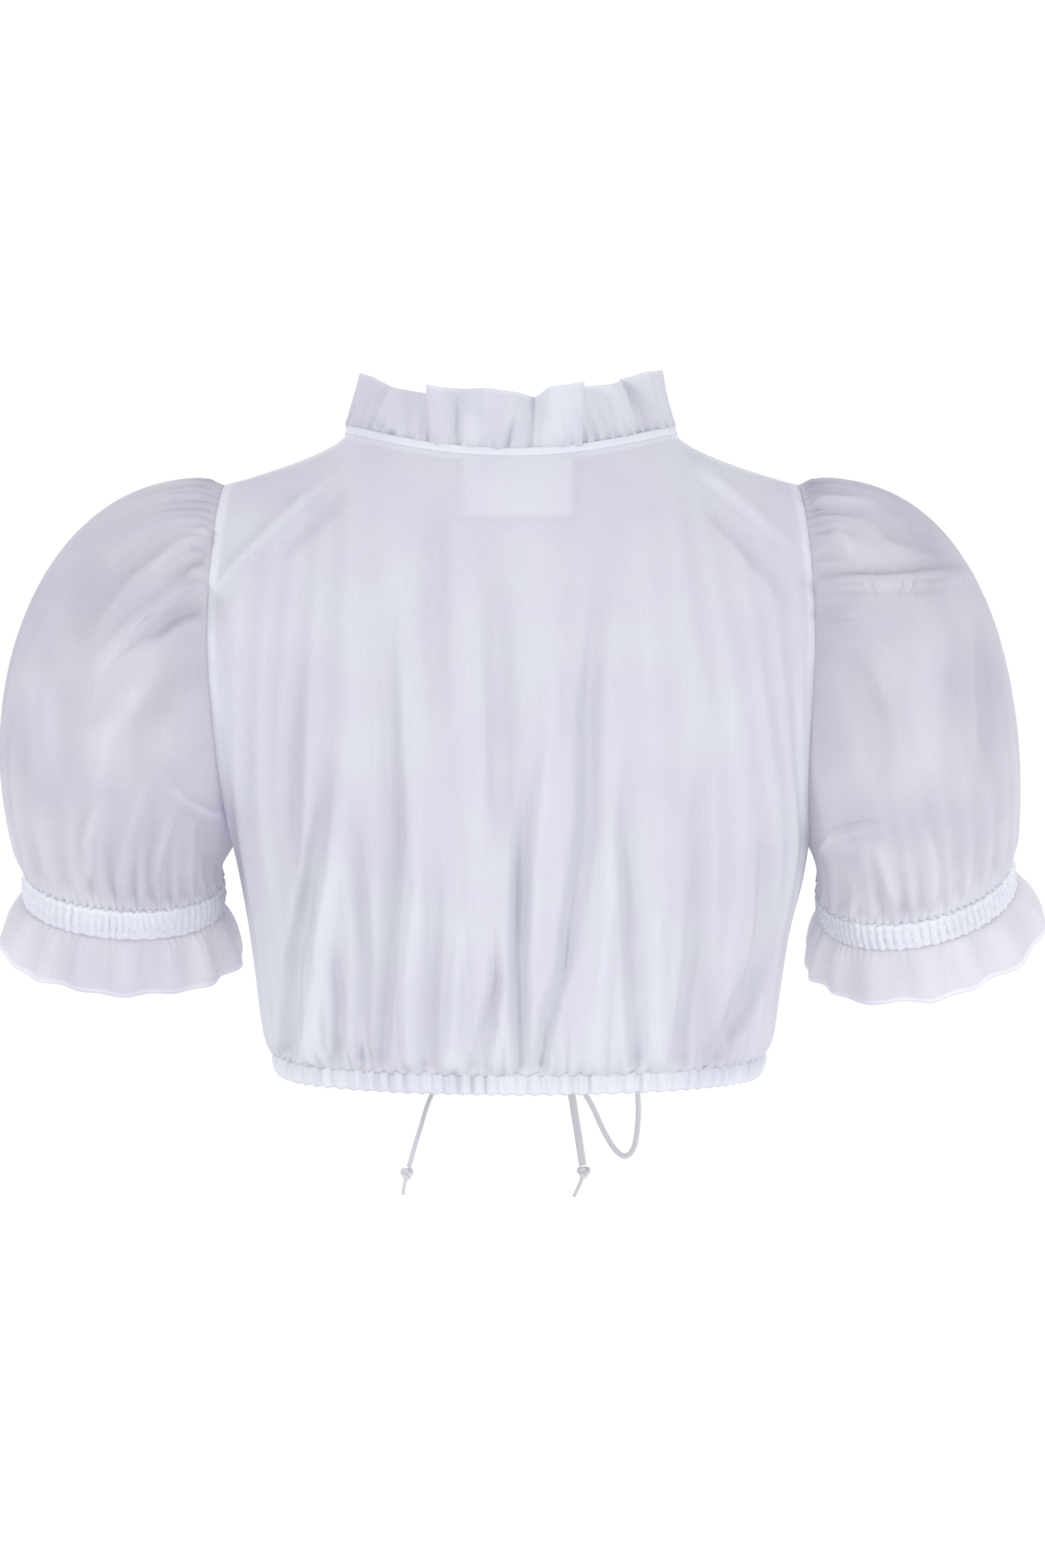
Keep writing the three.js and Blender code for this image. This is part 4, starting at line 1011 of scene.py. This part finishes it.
def cotton(name, colour, doubled_and_highlight_colour, solid=1, doubled_solid=1, glow=0.3, shade=(0.95, 0.932, 0.975)):
    """Thin plain-woven cotton: its colour where it is single, and where it is doubled, which is also painted
    on fold ridges and collar facets as painted light;
    how solid it is at each, how much of the light behind it comes through, and the tint of its darker
    clouds."""
    material, tree, shader, place = new_material(name)
    set_sockets(shader, COTTON_SURFACE)
    # This attribute holds where the cloth lies double, and also the painted light on fold ridges, collar
    # facets and the sleeves' ends.
    layers = add_node(tree, "ShaderNodeAttribute", attribute_name="doubled_and_painted_light").outputs["Fac"]
    colours = {"A": (*colour, 1), "B": (*doubled_and_highlight_colour, 1)}
    base = add_node(tree, "ShaderNodeMix", links={"Factor": layers}, data_type="RGBA")
    set_sockets(base, colours)
    clouds = tones(tree, noise(tree, place, CLOUD_SCALE, 2), [(0.35, shade), (0.65, (1, 1, 1))])
    tint = multiplied(tree, base.outputs["Result"], clouds)

    warp = threads(tree, place, WARP_STRETCH)
    weft = threads(tree, place, WEFT_STRETCH)
    faint = add_node(tree, "ShaderNodeMath", {1: WEFT_SHARE}, {0: weft}, operation="MULTIPLY")
    weave = add_node(tree, "ShaderNodeMath", links={0: warp, 1: faint.outputs["Value"]}, operation="ADD")
    woven = multiplied(tree, tint, remapped(tree, weave.outputs["Value"], 0.975, 1.01, 0.4, 0.95))
    bump = add_node(tree, "ShaderNodeBump", COTTON_BUMP, {"Height": warp})
    tree.links.new(woven, shader.inputs["Base Color"])
    tree.links.new(bump.outputs["Normal"], shader.inputs["Normal"])
    if solid < 1:
        tree.links.new(remapped(tree, layers, solid, doubled_solid), shader.inputs["Alpha"])

    behind = add_node(tree, "ShaderNodeBsdfTranslucent", links={"Color": woven})
    shaders = {1: shader.outputs["BSDF"], 2: behind.outputs["BSDF"]}
    both = add_node(tree, "ShaderNodeMixShader", {"Fac": glow}, shaders)
    tree.links.new(both.outputs["Shader"], tree.nodes["Material Output"].inputs["Surface"])
    return material


def pearl(name, colour):
    """Milky button plastic with a soft cloudy lustre."""
    material, tree, shader, place = new_material(name)
    set_sockets(shader, {"Roughness": 0.22, "Coat Weight": 0.5})
    clouds = add_node(tree, "ShaderNodeTexNoise", {"Scale": 420, "Distortion": 1.6}, {"Vector": place})
    milky = tones(tree, clouds.outputs["Fac"], [(0, [c * 0.86 for c in colour]), (1, colour)])
    tree.links.new(milky, shader.inputs["Base Color"])
    return material


# Settings and operators

def length_setting(name, description, default, low, high):
    return bpy.props.FloatProperty(
        name=name, description=description, default=default, min=low, max=high, precision=5, unit="LENGTH",
    )


def colour_setting(name, description, default):
    return bpy.props.FloatVectorProperty(
        name=name, description=description, default=default, min=0, max=1, subtype="COLOR",
    )


class BlouseSettings(bpy.types.PropertyGroup):
    """The sizes and colours that a user would change."""

    thickness: length_setting("Cloth thickness", "Thickness of the cloth", 0.0006, 0.0002, 0.002)
    tape_width: length_setting("Tape width", "Width of the flat drawstring", 0.005, 0.002, 0.01)
    button_size: length_setting("Button size", "Diameter of a front button", 0.0105, 0.006, 0.02)
    white: colour_setting("Body cloth", "Colour of the single cloth of the body", (0.775, 0.785, 0.84))
    # The doubled colour is also painted on fold ridges, lit collar facets and the sleeves' ends above the
    # cuffs as painted light.
    bright: colour_setting("Doubled cloth", "Colour where two layers of cloth lie", (0.93, 0.95, 0.99))
    sheer: colour_setting("Sleeve cloth", "Colour of the sleeves and cuff frills", (0.835, 0.82, 0.862))
    tape: colour_setting("Drawstring", "Colour of the drawstring's tape", (0.72, 0.72, 0.74))
    pearl: colour_setting("Buttons", "Colour of the pearl buttons", (0.86, 0.85, 0.82))
    light: bpy.props.FloatProperty(
        name="Studio light",
        description="Strength of the light that the studio gives from behind the camera",
        default=0.46,
        min=0,
        max=3,
    )


def finish_for(slot):
    """The finish of a slot, made when it is first asked for. The frame's own materials have the slots'
    names without dressed before them."""
    name = f"dressed_{slot}"
    if name in bpy.data.materials:
        return bpy.data.materials[name]
    s = bpy.context.scene.blouse
    if slot == "white_cotton":
        return cotton(name, s.white, s.bright)
    if slot == "shirred_cotton":
        return cotton(name, s.white, s.bright, glow=0.35)
    if slot == "sheer_cotton":
        return cotton(name, s.sheer, s.bright, 0.6, 0.9, glow=0.4, shade=(0.9, 0.885, 0.93))
    if slot == "label_tape":
        return cotton(name, s.bright, s.bright)
    if slot == "drawstring_tape":
        return cotton(name, s.tape, s.tape, glow=0.1)
    return pearl(name, s.pearl)


class BLOUSE_OT_back(bpy.types.Operator):
    """Cut the back panel, with its long soft folds and the pleats above the casing"""

    bl_idname = "blouse.back"
    bl_label = "Back panel"
    bl_options = {"REGISTER", "UNDO"}

    def execute(self, context):
        s = context.scene.blouse
        points, layers, _ = panel("back")
        piece = sew(
            "back_cloth", lambda across, up: (points, layers), PANEL_GRID, s.thickness,
            "white_cotton", "back_panel",
        )
        return {"FINISHED"}


class BLOUSE_OT_fronts(bpy.types.Operator):
    """Cut the two fronts, which meet at the closing line"""

    bl_idname = "blouse.fronts"
    bl_label = "Fronts"
    bl_options = {"REGISTER", "UNDO"}

    def execute(self, context):
        s = context.scene.blouse
        points, layers, _ = panel("front")
        half = PANEL_GRID[0] // 2
        for side, low, closing in (("right", 0, half), ("left", half, 0)):
            part = points[:, low:low + half + 1].copy()
            part[:, closing, 0] += 0.5 * SEAM_GAP * (1 if side == "right" else -1)
            doubled_and_painted_light = layers[:, low:low + half + 1]
            piece = sew(
                f"front_{side}_cloth", lambda across, up: (part, doubled_and_painted_light), (half, PANEL_GRID[1]),
                s.thickness, "white_cotton", f"front_{side}",
            )
        return {"FINISHED"}


class BLOUSE_OT_closing(bpy.types.Operator):
    """Sew on the button stand, and a small pearl button at each of its places"""

    bl_idname = "blouse.closing"
    bl_label = "Button stand and buttons"
    bl_options = {"REGISTER", "UNDO"}

    def execute(self, context):
        s = context.scene.blouse
        reach = PLACKET_REACH / 2
        lift = SEAM_GAP + PLACKET_LIFT
        place = on_panel("front", 0.5 - reach, 0.5 + reach, *PLACKET_ENDS, lift, stitched_edges)
        shell = s.thickness * PLACKET_SHELL
        strip = sew("placket_cloth", place, PLACKET_GRID, shell, "white_cotton", "front_placket")
        points, _, normals = (grid[:, PANEL_GRID[0] // 2] for grid in panel("front"))
        for k in range(1, BUTTONS + 1):
            low, high = (np.array(corner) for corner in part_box(f"button_{k}"))
            middle = (low + high) / 2
            nearest = np.argmin(np.linalg.norm(points * MM - middle, axis=1))
            piece = button(f"button_{k}_pearl", middle, normals[nearest], s.button_size)
            finish_piece(piece, "pearl_button", f"button_{k}")
        return {"FINISHED"}


class BLOUSE_OT_label(bpy.types.Operator):
    """Sew the bare label inside the back of the neck"""

    bl_idname = "blouse.label"
    bl_label = "Neck label"
    bl_options = {"REGISTER", "UNDO"}

    def execute(self, context):
        s = context.scene.blouse
        place = on_panel("back", *LABEL_ACROSS, *LABEL_UP, LABEL_LIFT, stitched_edges)
        piece = sew("label_cloth", place, LABEL_GRID, s.thickness, "label_tape", "neck_label")
        return {"FINISHED"}


class BLOUSE_OT_collar(bpy.types.Operator):
    """Bind the neckline and gather the standing frill on to it"""

    bl_idname = "blouse.collar"
    bl_label = "Collar"
    bl_options = {"REGISTER", "UNDO"}

    def execute(self, context):
        s = context.scene.blouse
        binding = sew(
            "binding_cloth", binding_place, BINDING_GRID, s.thickness, "shirred_cotton", "neck_binding",
        )
        frill = sew(
            "collar_frill_cloth", collar_frill_place, COLLAR_FRILL_GRID, s.thickness,
            "white_cotton", "neck_frill",
        )
        return {"FINISHED"}


class BLOUSE_OT_casing(bpy.types.Operator):
    """Gather the casing that holds the drawstring at the hem"""

    bl_idname = "blouse.casing"
    bl_label = "Hem casing"
    bl_options = {"REGISTER", "UNDO"}

    def execute(self, context):
        s = context.scene.blouse
        piece = sew("casing_cloth", casing_place, CASING_GRID, s.thickness, "shirred_cotton", "hem_casing")
        return {"FINISHED"}


class BLOUSE_OT_sleeves(bpy.types.Operator):
    """Set in the two puff sleeves, gathered at the armhole and the cuff"""

    bl_idname = "blouse.sleeves"
    bl_label = "Puff sleeves"
    bl_options = {"REGISTER", "UNDO"}

    def execute(self, context):
        s = context.scene.blouse
        for arm in ARMS:
            piece = sew(
                f"puff_{arm.side}_cloth", sleeve_place(arm), SLEEVE_GRID, s.thickness * SHEER_SHELL,
                "sheer_cotton", f"sleeve_{arm.side}", closed=True,
            )
        return {"FINISHED"}


class BLOUSE_OT_cuffs(bpy.types.Operator):
    """Shirr the two cuff bands and add their frills"""

    bl_idname = "blouse.cuffs"
    bl_label = "Cuffs"
    bl_options = {"REGISTER", "UNDO"}

    def execute(self, context):
        s = context.scene.blouse
        for arm in ARMS:
            band = sew(
                f"band_{arm.side}_cloth", band_place(arm), BAND_GRID, s.thickness,
                "shirred_cotton", f"cuff_band_{arm.side}", closed=True,
            )
            frill = sew(
                f"cuff_frill_{arm.side}_cloth", cuff_frill_place(arm), CUFF_FRILL_GRID,
                s.thickness * SHEER_SHELL, "sheer_cotton", f"cuff_frill_{arm.side}", closed=True,
            )
        return {"FINISHED"}


class BLOUSE_OT_drawstring(bpy.types.Operator):
    """Tie the drawstring in a bow, with a knot in each end"""

    bl_idname = "blouse.drawstring"
    bl_label = "Drawstring"
    bl_options = {"REGISTER", "UNDO"}

    def execute(self, context):
        s = context.scene.blouse
        slot = "drawstring_tape"
        for name, centre, size in (
            ("bow_knot", BOW, (10.4, 9.4, 10.6)),
            ("knot_left", KNOT_LEFT, (8, 7, 8)),
            ("knot_right", KNOT_RIGHT, (8.5, 6, 8)),
        ):
            path = overhand(centre, np.array(size) * KNOT_FILL)
            piece = tape(f"{name}_tape", path, ((0, 1, 0.4), (0, 1, 0.4)), *KNOTTED_TAPE)
            finish_piece(piece, slot, name)
        for name, points in (("tail_left", TAIL_LEFT), ("tail_right", TAIL_RIGHT)):
            piece = tape(f"{name}_tape", route(points, 8), ((0.4, 1, 0), (0.4, 1, 0)), *TAIL_TAPE)
            finish_piece(piece, slot, name)
        narrow = s.tape_width * LOOP_WIDTH
        for name, points, facing, width, thickness, pieces in (
            (
                "tie_left", TIE_LEFT, ((1, 0.4, 0), (1, 0.6, 0)), s.tape_width, BENT_TAPE_THICKNESS,
                ["knot_left", "tail_left"],
            ),
            (
                "tie_right", TIE_RIGHT, ((0, 1, 0), (0.15, 1, 0)), s.tape_width, TAPE_THICKNESS,
                ["knot_right", "tail_right"],
            ),
            ("tie_loop", TIE_LOOP, ((0, 1, 0.3), (0, 1, -0.3)), narrow, TAPE_THICKNESS, ["bow_knot"]),
        ):
            path = route(points, 6 * (len(points) - 1))
            piece = tape(f"{name}_tape", path, facing, width, thickness)
            finish_piece(piece, slot, name)
        return {"FINISHED"}


class BLOUSE_OT_stage(bpy.types.Operator):
    """Set up the white studio, its lamps and the camera"""

    bl_idname = "blouse.stage"
    bl_label = "Studio"
    bl_options = {"REGISTER", "UNDO"}

    def execute(self, context):
        scene = context.scene
        scene.view_settings.view_transform = "Standard"
        camera = bpy.data.cameras.new("Camera")
        camera.sensor_width = SENSOR
        camera.lens = SENSOR * -CAMERA_PLACE[1] / FRAME_HEIGHT
        camera.clip_end = 60
        view = bpy.data.objects.new("Camera", camera)
        view.location = [v * MM for v in CAMERA_PLACE]
        view.rotation_euler = (math.pi / 2, 0, 0)
        scene.collection.objects.link(view)
        scene.camera = view

        mesh = bmesh.new()
        turned(mesh, BOWL_PROFILE, 64)
        bmesh.ops.holes_fill(mesh, edges=mesh.edges, sides=0)
        bmesh.ops.recalc_face_normals(mesh, faces=mesh.faces)
        studio = new_object("studio_floor", mesh)
        white, tree, shader, place = new_material("studio_white")
        grey = (BOWL_GREY, BOWL_GREY, BOWL_GREY, 1)
        set_sockets(shader, {"Base Color": grey, "Roughness": 1, "Emission Color": (1, 1, 1, 1)})
        axes = add_node(tree, "ShaderNodeSeparateXYZ", links={"Vector": place})
        nearness = remapped(tree, axes.outputs["Y"], scene.blouse.light, 1, -2, 1)
        tree.links.new(nearness, shader.inputs["Emission Strength"])
        studio.data.materials.append(white)

        world = scene.world or bpy.data.worlds.new("World")
        scene.world = world
        world.use_nodes = True
        sky = {"Color": (1, 1, 1, 1), "Strength": WORLD_LIGHT}
        set_sockets(world.node_tree.nodes["Background"], sky)
        for name, place, size, power in LAMPS:
            lamp = bpy.data.lights.new(name, "AREA")
            lamp.size = size
            lamp.energy = power
            light = bpy.data.objects.new(name, lamp)
            light.location = place
            aim = Vector(LAMP_AIM) - Vector(place)
            light.rotation_euler = aim.to_track_quat("-Z", "Y").to_euler()
            scene.collection.objects.link(light)
        return {"FINISHED"}


class BLOUSE_PT_panel(bpy.types.Panel):
    """The blouse's pieces, in the order of sewing"""

    bl_idname = "BLOUSE_PT_panel"
    bl_label = "Dirndl blouse"
    bl_space_type = "VIEW_3D"
    bl_region_type = "UI"
    bl_category = "Blouse"

    def draw(self, context):
        for name in BlouseSettings.__annotations__:
            self.layout.prop(context.scene.blouse, name)
        for operator in OPERATORS:
            self.layout.operator(operator.bl_idname)


OPERATORS = (
    BLOUSE_OT_stage,
    BLOUSE_OT_drawstring,
    BLOUSE_OT_back,
    BLOUSE_OT_fronts,
    BLOUSE_OT_closing,
    BLOUSE_OT_label,
    BLOUSE_OT_collar,
    BLOUSE_OT_casing,
    BLOUSE_OT_sleeves,
    BLOUSE_OT_cuffs,
)
CLASSES = (BlouseSettings, *OPERATORS, BLOUSE_PT_panel)


def register():
    for cls in CLASSES:
        bpy.utils.register_class(cls)
    bpy.types.Scene.blouse = bpy.props.PointerProperty(type=BlouseSettings)


def unregister():
    del bpy.types.Scene.blouse
    for cls in reversed(CLASSES):
        bpy.utils.unregister_class(cls)


def main():
    register()
    for operator in OPERATORS:
        group, name = operator.bl_idname.split(".")
        getattr(getattr(bpy.ops, group), name)()
    bpy.context.view_layer.update()


if __name__ == "__main__":
    main()
